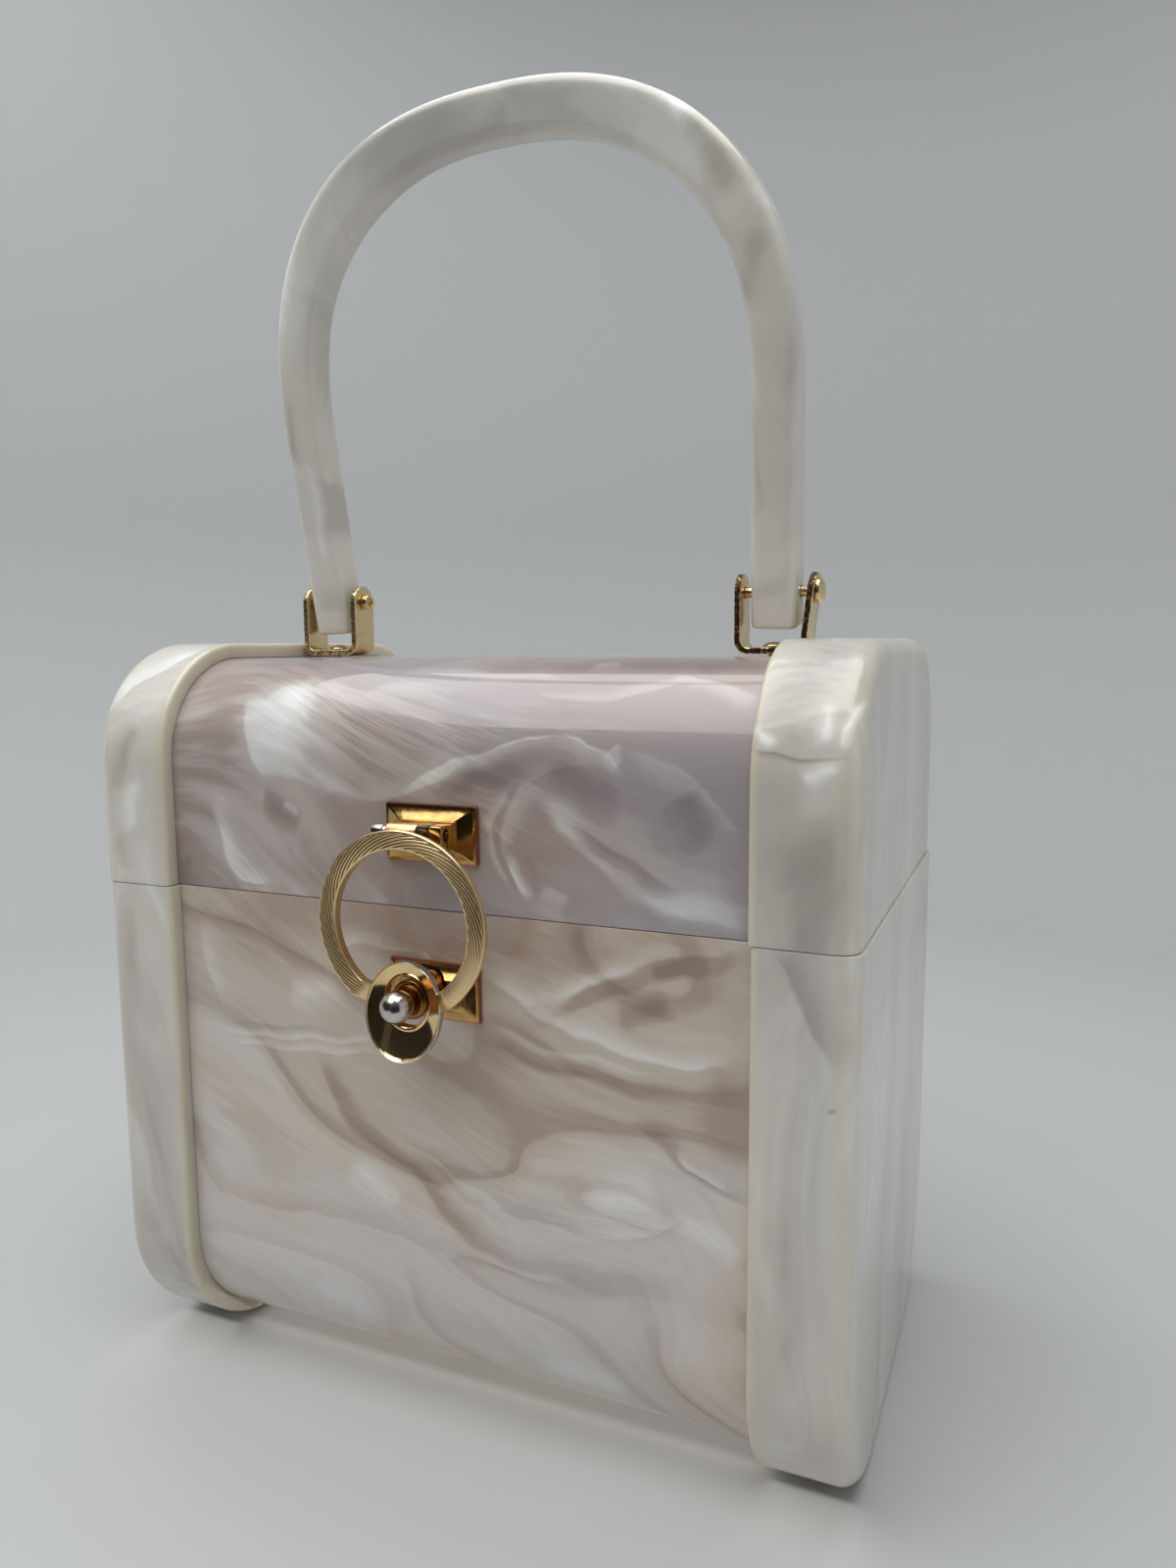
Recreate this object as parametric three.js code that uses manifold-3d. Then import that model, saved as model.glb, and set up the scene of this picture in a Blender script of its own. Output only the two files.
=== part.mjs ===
// Acrylic box purse with a swinging handle and a ring clasp.
// Millimetres. +Z is up, the front faces -Y and +X is to the right of someone looking at the front.
// A bent sheet goes round the front, top, back and bottom, and a tray-shaped cap closes each end.
// One level cut parts the box into a base and a lid that swings on two hinges at the back.

import * as THREE from 'three';
import { mergeVertices } from 'three/addons/utils/BufferGeometryUtils.js';
import Module from 'manifold-3d';

const wasm = await Module();
wasm.setup();

// Box
const BOX_WIDTH = 150;
const BOX_DEPTH = 96;
const BOX_HEIGHT = 148.5;
const TOP_BEND = 23;
const BOTTOM_BEND = 28;
const BEND_STEPS = 7;
const SHEET = 3.2;
const SPLIT_HEIGHT = 101.2;
const SPLIT_GAP = 0.3;
const LID_SIDE_STEP = 0.5;

// End caps: how wide the rim is, how far it stands proud of the wrap, and its edges
const CAP_RIM = 17;
const CAP_PROUD = 3.1;
const CAP_PLATE = 3.2;
const CAP_EDGE = 3.6;
const CAP_EDGE_STEPS = 4;
const RIM_EDGE = 0.7;

// Gaps: round a seated piece, and round a pin that something turns on
const SEAT = 0.3;
const RUNNING = 0.3;

// Handle: a bar bent to straight legs and a squarish arch, measured up from its pins
const HANDLE_HALF_SPAN = 50.4;
const HANDLE_SIDE_STEP = 0.2;
const HANDLE_SPREAD = 1.1;
const HANDLE_LEG = 38.5;
const HANDLE_ARCH_RISE = 51;
const HANDLE_ARCH_POWER = 2.45;
const HANDLE_ARCH_STEPS = 16;
const HANDLE_BAR = 9;
const HANDLE_CROWN_SWELL = 0.6;
const HANDLE_BEND_SWELL = 14.5;
const HANDLE_THICKNESS = 8.4;
const HANDLE_EDGE = 1.6;
const HANDLE_EDGE_STEPS = 2;
const HANDLE_TAIL = 6.6;
const HANDLE_LEAN = THREE.MathUtils.degToRad(9.5);

// Brackets that carry the handle, their pins and rivets
const BRACKET_X = 50.1;
const BRACKET_WIDTH = 14;
const BRACKET_DEPTH = 7.3;
const BRACKET_HEIGHT = 15.2;
const BRACKET_STRIP = 1.25;
const BRACKET_BEND = 2.6;
const BRACKET_SPLAY = 1.45;
const PIN_HEIGHT = 11.7;
const PIN_RADIUS = 1;
const PIN_HEAD_RADIUS = 2.45;
const PIN_HEAD_HEIGHT = 1.4;
const PIN_TAIL_RADIUS = 1.65;
const PIN_TAIL_LENGTH = 1.5;
const PIN_RECESS_RADIUS = 0.9;
const PIN_RECESS_DEPTH = 0.9;
const RIVET_RADIUS = 1.2;
const RIVET_HEAD_RADIUS = 2.2;
const RIVET_HEAD_HEIGHT = 1;

// Clasp plates
const PLATE_WIDTH = 18.4;
const PLATE_HEIGHT = 10.4;
const PLATE_RIM = 0.9;
const PLATE_RISE = 2.3;
const PLATEAU_SHARE = 0.6;
const PLATEAU_HEIGHT_SHARE = 0.5;
const UPPER_PLATE_X = 0.6;
const UPPER_PLATE_Z = 115;
const LOWER_PLATE_Z = 86.7;

// Clasp hinge, measured out from the front of the wrap
const PIVOT_OUT = 5.7;
const PIVOT_Z = 115.9;
const CLASP_PIN_RADIUS = 0.9;
const CLASP_PIN_LEFT = -7.9;
const BARREL_RADIUS = 1.6;
const BARREL_LEFT = -4.7;
const BARREL_RIGHT = 1.3;
const KNUCKLE_LEFT = 1.6;
const KNUCKLE_RIGHT = 4;
const KNUCKLE_HALF = 1.6;
const CHEEK_RIGHT = 6.5;
const CHEEK_HEIGHT = 4.6;
const LIP_LEFT = -4.5;
const LIP_DROP = 0.3;
const LIP_RISE = 1;
const LIP_THICKNESS = 0.5;

// Clasp ring and the dished disc at its foot, measured out from the front of the wrap
const RING_Z = 100.8;
const RING_OUTER = 16.4;
const RING_INNER = 13;
const RING_FRONT_OUT = 11;
const RING_THICKNESS = 2;
const RING_EDGE = 0.45;
const RING_TAPER = 0.4;
const RING_SIDES = 56;
const NECK_WIDTH = 4;
const DISC_Z = 85.6;
const DISC_HALF_WIDTH = 7.4;
const DISC_HALF_HEIGHT = 8.5;
const DISC_HOLE_Z = 87.2;
const DISC_HOLE_HALF_WIDTH = 4.2;
const DISC_HOLE_HALF_HEIGHT = 4.5;
const DISC_FRONT_OUT = 10;
const DISC_THICKNESS = 1.6;
const DISC_DISH = 0.4;
const DISC_TILT = 0.9;
const DISC_SIDES = 32;

// Stud that the disc drops over, and the ball on its tip
const STUD_X = -0.2;
const STUD_Z = 87.3;
const STUD_COLLAR_RADIUS = 3.5;
const STUD_COLLAR_OUT = 8.8;
const STUD_NECK_RADIUS = 2.5;
const BALL_RADIUS = 2.8;
const BALL_OUT = 12.8;
const BALL_SEAT = 1.4;

// Back hinges, one a side
const HINGE_X = 34;
const HINGE_WIDTH = 24;
const HINGE_LEAF_HEIGHT = 14;
const HINGE_LEAF = 1.1;
const HINGE_BARREL_RADIUS = 2.2;
const HINGE_PIN_RADIUS = 1;
const HINGE_CLEAR_OF_CAPS = 0.4;

// How far a cutting tool runs past the face it starts or ends at
const OVERSHOOT = 1;

const ROUND_SIDES = 16;
const BALL_STEPS = 7;
const WRAP_FRONT = -BOX_DEPTH / 2 + CAP_PROUD;
const WRAP_BACK = BOX_DEPTH / 2 - CAP_PROUD;
const WRAP_TOP = BOX_HEIGHT - CAP_PROUD;
const WRAP_HALF = BOX_WIDTH / 2 - CAP_PLATE - SEAT;
const BASE_TOP = SPLIT_HEIGHT - SPLIT_GAP / 2;
const LID_BOTTOM = SPLIT_HEIGHT + SPLIT_GAP / 2;
const HINGE_Y = BOX_DEPTH / 2 + HINGE_CLEAR_OF_CAPS;
const QUARTER_TURN = Math.PI / 2;

const marbledPearl = new THREE.MeshStandardMaterial({ color: 0xc6b7b4, roughness: 0.18, metalness: 0.05 });
const ivoryPearl = new THREE.MeshStandardMaterial({ color: 0xe6e3d8, roughness: 0.22, metalness: 0.03 });
const paleGold = new THREE.MeshStandardMaterial({ color: 0xd2b878, roughness: 0.25, metalness: 1 });
const warmGold = new THREE.MeshStandardMaterial({ color: 0xc98f45, roughness: 0.3, metalness: 1 });
const silver = new THREE.MeshStandardMaterial({ color: 0xcfcfd0, roughness: 0.2, metalness: 1 });

// Solids

function signedVolume(points, triangles) {
  const a = new THREE.Vector3();
  const b = new THREE.Vector3();
  const c = new THREE.Vector3();
  let sum = 0;
  for (let i = 0; i < triangles.length; i += 3) {
    a.fromArray(points, 3 * triangles[i]);
    b.fromArray(points, 3 * triangles[i + 1]);
    c.fromArray(points, 3 * triangles[i + 2]);
    sum += a.dot(b.cross(c));
  }
  return sum;
}

// Closed mesh as a solid that can be joined and cut, with its faces turned outward.
function toSolid(geometry) {
  const bare = geometry.clone();
  bare.deleteAttribute('normal');
  bare.deleteAttribute('uv');
  const merged = mergeVertices(bare, 1e-5);
  const points = merged.attributes.position.array;
  const source = merged.index.array;
  const triangles = [];
  for (let i = 0; i < source.length; i += 3) {
    const [a, b, c] = [source[i], source[i + 1], source[i + 2]];
    if (a !== b && b !== c && c !== a) triangles.push(a, b, c);
  }
  if (signedVolume(points, triangles) < 0) triangles.reverse();
  const vertProperties = new Float32Array(points);
  const triVerts = new Uint32Array(triangles);
  return new wasm.Manifold(new wasm.Mesh({ numProp: 3, vertProperties, triVerts }));
}

function piece(name, solid, material) {
  const { vertProperties, triVerts } = solid.getMesh();
  const geometry = new THREE.BufferGeometry();
  geometry.setAttribute('position', new THREE.BufferAttribute(vertProperties, 3));
  geometry.setIndex(new THREE.BufferAttribute(triVerts, 1));
  geometry.computeVertexNormals();
  const mesh = new THREE.Mesh(geometry, material);
  mesh.name = name;
  return mesh;
}

// Skin over a row of rings with equal counts of points. A closed row joins its last ring to its first,
// and an open one gets a flat face at each end.
function loft(rings, closedRow = false) {
  const count = rings[0].length;
  const points = rings.flat();
  const index = [];
  const joints = closedRow ? rings.length : rings.length - 1;
  for (let row = 0; row < joints; row += 1) {
    const next = (row + 1) % rings.length;
    for (let i = 0; i < count; i += 1) {
      const j = (i + 1) % count;
      const [a, b, c, d] = [row * count + i, row * count + j, next * count + j, next * count + i];
      index.push(a, b, c, a, c, d);
    }
  }
  if (!closedRow) {
    for (const [row, flip] of [[0, true], [rings.length - 1, false]]) {
      const middle = new THREE.Vector3();
      rings[row].forEach((point) => middle.addScaledVector(point, 1 / count));
      const centre = points.push(middle) - 1;
      for (let i = 0; i < count; i += 1) {
        const edge = [row * count + i, row * count + ((i + 1) % count)];
        if (flip) edge.reverse();
        index.push(centre, ...edge);
      }
    }
  }
  const geometry = new THREE.BufferGeometry().setFromPoints(points);
  geometry.setIndex(index);
  return toSolid(geometry);
}

function block(low, high) {
  const size = high.map((value, i) => value - low[i]);
  const geometry = new THREE.BoxGeometry(...size);
  geometry.translate(...high.map((value, i) => (value + low[i]) / 2));
  return toSolid(geometry);
}

// Turned piece: rows of [radius, distance along the axis], from axis to axis or closed on itself.
function turned(rows, sides = ROUND_SIDES) {
  return new THREE.LatheGeometry(rows.map(([radius, along]) => new THREE.Vector2(radius, along)), sides);
}

function turnedAlongX(rows) {
  return toSolid(turned(rows).rotateZ(-QUARTER_TURN));
}

function turnedTowardsFront(rows, sides) {
  return toSolid(turned(rows, sides).rotateX(Math.PI));
}

function rodAlongX(radius, from, to, y, z) {
  return turnedAlongX([[0, from], [radius, from], [radius, to], [0, to]]).translate([0, y, z]);
}

// Rows of a low dome that grows from its rim at base to its crown at base + height.
function domeRows(radius, base, height) {
  const steps = [0.35, 0.65, 0.88, 1];
  return steps.map((share) => [radius * Math.sqrt(1 - share * share), base + height * share]);
}

// Shell of the box

function arcPoints(y, z, radius, start) {
  return Array.from({ length: BEND_STEPS + 1 }, (_, i) => {
    const angle = start + (QUARTER_TURN * i) / BEND_STEPS;
    return [y + radius * Math.cos(angle), z + radius * Math.sin(angle)];
  });
}

// Side view of the box, shrunk by an inset: [y, z] points, anticlockwise as seen from +X.
function boxOutline(inset) {
  const half = BOX_DEPTH / 2 - inset;
  const high = BOX_HEIGHT - inset;
  const top = TOP_BEND - inset;
  const bottom = BOTTOM_BEND - inset;
  return [
    ...arcPoints(half - bottom, inset + bottom, bottom, -QUARTER_TURN),
    ...arcPoints(half - top, high - top, top, 0),
    ...arcPoints(-half + top, high - top, top, QUARTER_TURN),
    ...arcPoints(-half + bottom, inset + bottom, bottom, Math.PI),
  ];
}

function boxRing(x, inset) {
  return boxOutline(inset).map(([y, z]) => new THREE.Vector3(x, y, z));
}

function wholeWrap() {
  const inner = CAP_PROUD + SHEET;
  return loft([
    boxRing(-WRAP_HALF, CAP_PROUD),
    boxRing(WRAP_HALF, CAP_PROUD),
    boxRing(WRAP_HALF, inner),
    boxRing(-WRAP_HALF, inner),
  ], true);
}

// Tray: from its inner face out along the rim's inside, round its edge and back over the outside.
function wholeCap(side) {
  const end = BOX_WIDTH / 2;
  const rimInset = CAP_PROUD - SEAT;
  const mouth = end - CAP_RIM;
  const rows = [
    [end - CAP_PLATE, rimInset],
    [mouth, rimInset],
    [mouth, RIM_EDGE],
    [mouth + RIM_EDGE, 0],
  ];
  for (let i = 0; i <= CAP_EDGE_STEPS; i += 1) {
    const angle = (QUARTER_TURN * i) / CAP_EDGE_STEPS;
    rows.push([end - CAP_EDGE + CAP_EDGE * Math.sin(angle), CAP_EDGE - CAP_EDGE * Math.cos(angle)]);
  }
  return loft(rows.map(([x, inset]) => boxRing(side * x, inset)));
}

const FAR = BOX_WIDTH;
const aboveBase = block([-FAR, -FAR, BASE_TOP], [FAR, FAR, 2 * FAR]);
const belowLid = block([-FAR, -FAR, -FAR], [FAR, FAR, LID_BOTTOM]);

// Handle

function handleArch() {
  const halfSpan = HANDLE_HALF_SPAN + HANDLE_SPREAD;
  const spreadAt = (z) => HANDLE_HALF_SPAN + (HANDLE_SPREAD * z) / HANDLE_LEG;
  const right = [-HANDLE_TAIL, HANDLE_LEG / 2].map((z) => new THREE.Vector2(spreadAt(z), z));
  for (let i = 0; i < HANDLE_ARCH_STEPS; i += 1) {
    const angle = (QUARTER_TURN * i) / HANDLE_ARCH_STEPS;
    const x = halfSpan * Math.cos(angle) ** (2 / HANDLE_ARCH_POWER);
    const rise = HANDLE_ARCH_RISE * Math.sin(angle) ** (2 / HANDLE_ARCH_POWER);
    right.push(new THREE.Vector2(x, HANDLE_LEG + rise));
  }
  const apex = new THREE.Vector2(0, HANDLE_LEG + HANDLE_ARCH_RISE);
  const left = right.map((point) => new THREE.Vector2(-point.x, point.y)).reverse();
  return [...right, apex, ...left];
}

// The bar thickens on the inside of its bends: extra width at a height above the pins.
function swellAt(z) {
  const share = Math.max(0, z - HANDLE_LEG) / HANDLE_ARCH_RISE;
  return share ** 4 * (HANDLE_CROWN_SWELL + HANDLE_BEND_SWELL * (1 - share));
}

// Section of the bar: [outward across the bar, through its thickness], shrunk by an inset.
function barOutline(inset, swell) {
  const width = HANDLE_BAR / 2 - inset;
  const depth = HANDLE_THICKNESS / 2 - inset;
  const radius = HANDLE_EDGE;
  const corners = [[1, -1], [1, 1], [-1, 1], [-1, -1]];
  return corners.flatMap(([across, through], turn) => {
    const points = [];
    for (let i = 0; i <= HANDLE_EDGE_STEPS; i += 1) {
      const angle = QUARTER_TURN * (turn - 1 + i / HANDLE_EDGE_STEPS);
      const inward = across < 0 ? swell : 0;
      const u = across * (width - radius) + radius * Math.cos(angle) - inward;
      const v = through * (depth - radius) + radius * Math.sin(angle);
      points.push([u, v]);
    }
    return points;
  });
}

function handleSolid() {
  const path = handleArch();
  const softEnd = HANDLE_EDGE / 2;
  const ringAt = (i, inset, slide) => {
    const ahead = path[Math.min(i + 1, path.length - 1)];
    const behind = path[Math.max(i - 1, 0)];
    const along = ahead.clone().sub(behind).normalize();
    const middle = path[i].clone().addScaledVector(along, slide);
    return barOutline(inset, swellAt(path[i].y)).map(([u, v]) => (
      new THREE.Vector3(middle.x + u * along.y, v, middle.y - u * along.x)
    ));
  };
  const last = path.length - 1;
  const bar = loft([
    ringAt(0, softEnd, 0),
    ringAt(0, 0, softEnd),
    ...path.slice(1, last).map((_, i) => ringAt(i + 1, 0, 0)),
    ringAt(last, 0, -softEnd),
    ringAt(last, softEnd, 0),
  ]);
  const reach = BOX_WIDTH / 2;
  return bar.subtract(rodAlongX(PIN_RADIUS + RUNNING, -reach, reach, 0, 0));
}

// Brackets

// Strip bent to a U, with its outer ear (+X) leaning out by a splay, ear tops rounded and drilled.
function bracketSolid(splay) {
  const half = BRACKET_WIDTH / 2;
  const inside = half - BRACKET_STRIP;
  const flat = half - BRACKET_BEND;
  const inner = BRACKET_BEND - BRACKET_STRIP;
  const u = new THREE.Shape();
  u.moveTo(-half, BRACKET_HEIGHT);
  u.lineTo(-half, BRACKET_BEND);
  u.absarc(-flat, BRACKET_BEND, BRACKET_BEND, Math.PI, 1.5 * Math.PI, false);
  u.lineTo(flat, 0);
  u.absarc(flat, BRACKET_BEND, BRACKET_BEND, 1.5 * Math.PI, 2 * Math.PI, false);
  u.lineTo(half + splay, BRACKET_HEIGHT);
  u.lineTo(inside + splay, BRACKET_HEIGHT);
  u.lineTo(inside, BRACKET_BEND);
  u.absarc(flat, BRACKET_BEND, inner, 2 * Math.PI, 1.5 * Math.PI, true);
  u.lineTo(-flat, BRACKET_STRIP);
  u.absarc(-flat, BRACKET_BEND, inner, 1.5 * Math.PI, Math.PI, true);
  u.lineTo(-inside, BRACKET_HEIGHT);
  const strip = new THREE.ExtrudeGeometry(u, { depth: BRACKET_DEPTH, bevelEnabled: false, curveSegments: 5 });
  strip.rotateX(QUARTER_TURN).translate(0, BRACKET_DEPTH / 2, 0);

  const round = BRACKET_DEPTH / 2;
  const ear = new THREE.Shape();
  ear.moveTo(-round, -OVERSHOOT);
  ear.lineTo(round, -OVERSHOOT);
  ear.lineTo(round, BRACKET_HEIGHT - round);
  ear.absarc(0, BRACKET_HEIGHT - round, round, 0, Math.PI, false);
  const sweep = BRACKET_WIDTH + 2 * Math.abs(splay);
  const earBlock = new THREE.ExtrudeGeometry(ear, { depth: 2 * sweep, bevelEnabled: false, curveSegments: 12 });
  const acrossX = new THREE.Matrix4().makeBasis(
    new THREE.Vector3(0, 1, 0),
    new THREE.Vector3(0, 0, 1),
    new THREE.Vector3(1, 0, 0),
  );
  earBlock.applyMatrix4(acrossX).translate(-sweep, 0, 0);

  const drill = rodAlongX(PIN_RADIUS + RUNNING, -sweep, sweep, 0, PIN_HEIGHT);
  return toSolid(strip).intersect(toSolid(earBlock)).subtract(drill).subtract(rivetHole());
}

function rivetHole() {
  const radius = RIVET_RADIUS + SEAT;
  const depth = SHEET + BRACKET_STRIP;
  const rows = [[0, -2 * depth], [radius, -2 * depth], [radius, depth], [0, depth]];
  return toSolid(turned(rows).rotateX(QUARTER_TURN));
}

// Rivet through the bracket's floor and the sheet below it, with a head on each side.
function rivetSolid() {
  const top = BRACKET_STRIP + SEAT / 3;
  const bottom = -SHEET - 2 * SEAT;
  const rows = [
    ...domeRows(RIVET_HEAD_RADIUS, bottom, -RIVET_HEAD_HEIGHT).reverse(),
    [RIVET_HEAD_RADIUS, bottom],
    [RIVET_RADIUS, bottom],
    [RIVET_RADIUS, top],
    [RIVET_HEAD_RADIUS, top],
    ...domeRows(RIVET_HEAD_RADIUS, top, RIVET_HEAD_HEIGHT),
  ];
  return toSolid(turned(rows).rotateX(QUARTER_TURN));
}

// Pin with its head beyond the outer ear. A riveted tail with a recess shows beyond the inner ear.
function handlePinSolid(splay, tailShows) {
  const lean = (splay * PIN_HEIGHT) / BRACKET_HEIGHT;
  const outside = BRACKET_WIDTH / 2 + SEAT;
  const rows = [];
  if (tailShows) {
    const tip = -outside - PIN_TAIL_LENGTH;
    rows.push([0, tip + PIN_RECESS_DEPTH], [PIN_RECESS_RADIUS, tip + PIN_RECESS_DEPTH]);
    rows.push([PIN_RECESS_RADIUS, tip], [PIN_TAIL_RADIUS, tip], [PIN_TAIL_RADIUS, -outside], [PIN_RADIUS, -outside]);
  } else {
    const flush = -BRACKET_WIDTH / 2;
    rows.push([0, flush], [PIN_RADIUS, flush]);
  }
  const headBase = outside + lean;
  rows.push([PIN_RADIUS, headBase], [PIN_HEAD_RADIUS, headBase]);
  rows.push(...domeRows(PIN_HEAD_RADIUS, headBase, PIN_HEAD_HEIGHT));
  return turnedAlongX(rows);
}

// Clasp. Points here are measured out from the front of the wrap: out is -Y.

function plateRing(out, width, height) {
  const corner = PLATE_RIM / 2;
  const points = [];
  const corners = [[1, 1], [-1, 1], [-1, -1], [1, -1]];
  corners.forEach(([right, up], turn) => {
    for (const share of [0, 0.5, 1]) {
      const angle = QUARTER_TURN * (turn + share);
      const x = right * (width / 2 - corner) + corner * Math.cos(angle);
      const z = up * (height / 2 - corner) + corner * Math.sin(angle);
      points.push(new THREE.Vector3(x, -out, z));
    }
  });
  return points;
}

// Plate pressed to a low pyramid with a flat top.
function plateSolid() {
  return loft([
    plateRing(SEAT / 3, PLATE_WIDTH, PLATE_HEIGHT),
    plateRing(PLATE_RIM, PLATE_WIDTH, PLATE_HEIGHT),
    plateRing(PLATE_RISE, PLATE_WIDTH * PLATEAU_SHARE, PLATE_HEIGHT * PLATEAU_HEIGHT_SHARE),
  ]);
}

function upperPlateSolid() {
  const pivotZ = PIVOT_Z - UPPER_PLATE_Z;
  const root = PLATE_RISE / 2;
  const tip = PIVOT_OUT + KNUCKLE_HALF;
  const cheekLow = pivotZ + KNUCKLE_HALF - CHEEK_HEIGHT;
  const top = pivotZ + KNUCKLE_HALF;
  const cheek = block([KNUCKLE_RIGHT, -tip, cheekLow], [CHEEK_RIGHT, -root, top]);
  const knuckle = block([KNUCKLE_LEFT, -tip, pivotZ - KNUCKLE_HALF], [KNUCKLE_RIGHT, -root, top]);
  const lipLow = top - LIP_DROP;
  const lip = block([LIP_LEFT, -PLATE_RISE - LIP_RISE, lipLow], [CHEEK_RIGHT, -root, lipLow + LIP_THICKNESS]);
  const drill = rodAlongX(CLASP_PIN_RADIUS + SEAT, KNUCKLE_LEFT - OVERSHOOT, CHEEK_RIGHT + OVERSHOOT, -PIVOT_OUT, pivotZ);
  return plateSolid().translate([UPPER_PLATE_X, 0, 0]).add(cheek).add(knuckle).add(lip).subtract(drill);
}

function rodTowardsFront(radius, from, to, x, z) {
  const rows = [[0, from], [radius, from], [radius, to], [0, to]];
  return turnedTowardsFront(rows).translate([x, 0, z]);
}

function lowerPlateSolid() {
  const radius = STUD_COLLAR_RADIUS + SEAT;
  const hole = rodTowardsFront(radius, -PLATE_RISE, 2 * PLATE_RISE, STUD_X, STUD_Z - LOWER_PLATE_Z);
  return plateSolid().subtract(hole);
}

// Oval between the hole (share 0) and the rim (share 1) of the disc, grown by an extra margin.
// The disc leans: its lowest point is further out by the tilt, and its highest one further in.
function discRing(share, out, extra = 0) {
  const between = THREE.MathUtils.lerp;
  const halfWidth = between(DISC_HOLE_HALF_WIDTH, DISC_HALF_WIDTH, share) + extra;
  const halfHeight = between(DISC_HOLE_HALF_HEIGHT, DISC_HALF_HEIGHT, share) + extra;
  const z = between(DISC_HOLE_Z, DISC_Z, share);
  return Array.from({ length: DISC_SIDES }, (_, i) => {
    const angle = (2 * Math.PI * i) / DISC_SIDES;
    const rise = z + halfHeight * Math.sin(angle);
    const lean = (DISC_TILT * (rise - DISC_Z)) / DISC_HALF_HEIGHT;
    return new THREE.Vector3(halfWidth * Math.cos(angle), -out + lean, rise);
  });
}

// Ring at its place on the closed purse: band, dished disc, and the barrel on its pin, all soldered.
function claspRingSolid() {
  const front = RING_FRONT_OUT;
  const back = front - RING_THICKNESS;
  const band = turnedTowardsFront([
    [RING_INNER, back],
    [RING_OUTER - RING_TAPER, back],
    [RING_OUTER, front - RING_EDGE],
    [RING_OUTER - RING_EDGE, front],
    [RING_INNER + RING_EDGE, front],
    [RING_INNER, front - RING_EDGE],
    [RING_INNER, back],
  ], RING_SIDES).translate([0, 0, RING_Z]);

  const discBack = DISC_FRONT_OUT - DISC_THICKNESS;
  const softRim = DISC_THICKNESS / 3;
  const disc = loft([
    discRing(0, discBack),
    discRing(0, DISC_FRONT_OUT - softRim),
    discRing(0, DISC_FRONT_OUT, softRim),
    discRing(1 / 2, DISC_FRONT_OUT - DISC_DISH / 4),
    discRing(1, DISC_FRONT_OUT - DISC_DISH, -softRim),
    discRing(1, DISC_FRONT_OUT - DISC_DISH - softRim),
    discRing(1, discBack - DISC_DISH),
  ], true);
  const margin = -2 * softRim;
  const discPlace = loft([discRing(1, back - OVERSHOOT, margin), discRing(1, front + OVERSHOOT, margin)]);

  const barrel = rodAlongX(BARREL_RADIUS, BARREL_LEFT, BARREL_RIGHT, -PIVOT_OUT, PIVOT_Z);
  const neckX = (BARREL_LEFT + BARREL_RIGHT) / 2;
  const neck = block(
    [neckX - NECK_WIDTH / 2, -front + RING_THICKNESS / 2, PIVOT_Z - BARREL_RADIUS / 2],
    [neckX + NECK_WIDTH / 2, -PIVOT_OUT, PIVOT_Z + BARREL_RADIUS / 2],
  );
  const boreRadius = CLASP_PIN_RADIUS + RUNNING;
  const bore = rodAlongX(boreRadius, BARREL_LEFT - OVERSHOOT, BARREL_RIGHT + OVERSHOOT, -PIVOT_OUT, PIVOT_Z);
  return band.subtract(discPlace).add(disc).add(neck).add(barrel).subtract(bore);
}

// Post with a collar that fills the disc's hole and a neck that carries the ball.
function studSolid() {
  const tip = BALL_OUT - BALL_SEAT;
  const bevel = STUD_COLLAR_RADIUS - STUD_NECK_RADIUS;
  return turnedTowardsFront([
    [0, SEAT / 3],
    [STUD_COLLAR_RADIUS, SEAT / 3],
    [STUD_COLLAR_RADIUS, STUD_COLLAR_OUT - bevel / 2],
    [STUD_COLLAR_RADIUS - bevel / 3, STUD_COLLAR_OUT],
    [STUD_NECK_RADIUS, STUD_COLLAR_OUT],
    [STUD_NECK_RADIUS, tip],
    [0, tip],
  ]);
}

function ballSolid() {
  const back = -BALL_SEAT + SEAT / 3;
  const rows = [[0, back]];
  const start = Math.asin(back / BALL_RADIUS);
  for (let i = 0; i <= BALL_STEPS; i += 1) {
    const angle = start + ((QUARTER_TURN - start) * i) / BALL_STEPS;
    rows.push([i === BALL_STEPS ? 0 : BALL_RADIUS * Math.cos(angle), BALL_RADIUS * Math.sin(angle)]);
  }
  return turnedTowardsFront(rows);
}

// Back hinges: two outer knuckles on the base leaf, one between them on the lid leaf.

function leafSolid(up) {
  const leafY = WRAP_BACK + SEAT / 3;
  const third = HINGE_WIDTH / 3;
  const half = HINGE_WIDTH / 2;
  const near = SPLIT_HEIGHT + up * SEAT;
  const far = SPLIT_HEIGHT + up * HINGE_LEAF_HEIGHT;
  const [low, high] = [Math.min(near, far), Math.max(near, far)];
  let leaf = block([-half, leafY, low], [half, leafY + HINGE_LEAF, high]);
  const knuckles = up > 0 ? [[-third / 2, third / 2]] : [[-half, -third / 2], [third / 2, half]];
  for (const [left, right] of knuckles) {
    const from = left === -half ? left : left + RUNNING / 2;
    const to = right === half ? right : right - RUNNING / 2;
    const webFar = SPLIT_HEIGHT + up * HINGE_BARREL_RADIUS;
    const [webLow, webHigh] = [Math.min(near, webFar), Math.max(near, webFar)];
    leaf = leaf.add(rodAlongX(HINGE_BARREL_RADIUS, from, to, HINGE_Y, SPLIT_HEIGHT));
    leaf = leaf.add(block([from, leafY, webLow], [to, HINGE_Y, webHigh]));
  }
  const reach = half + OVERSHOOT;
  return leaf.subtract(rodAlongX(HINGE_PIN_RADIUS + RUNNING, -reach, reach, HINGE_Y, SPLIT_HEIGHT));
}

// Assembly

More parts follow.
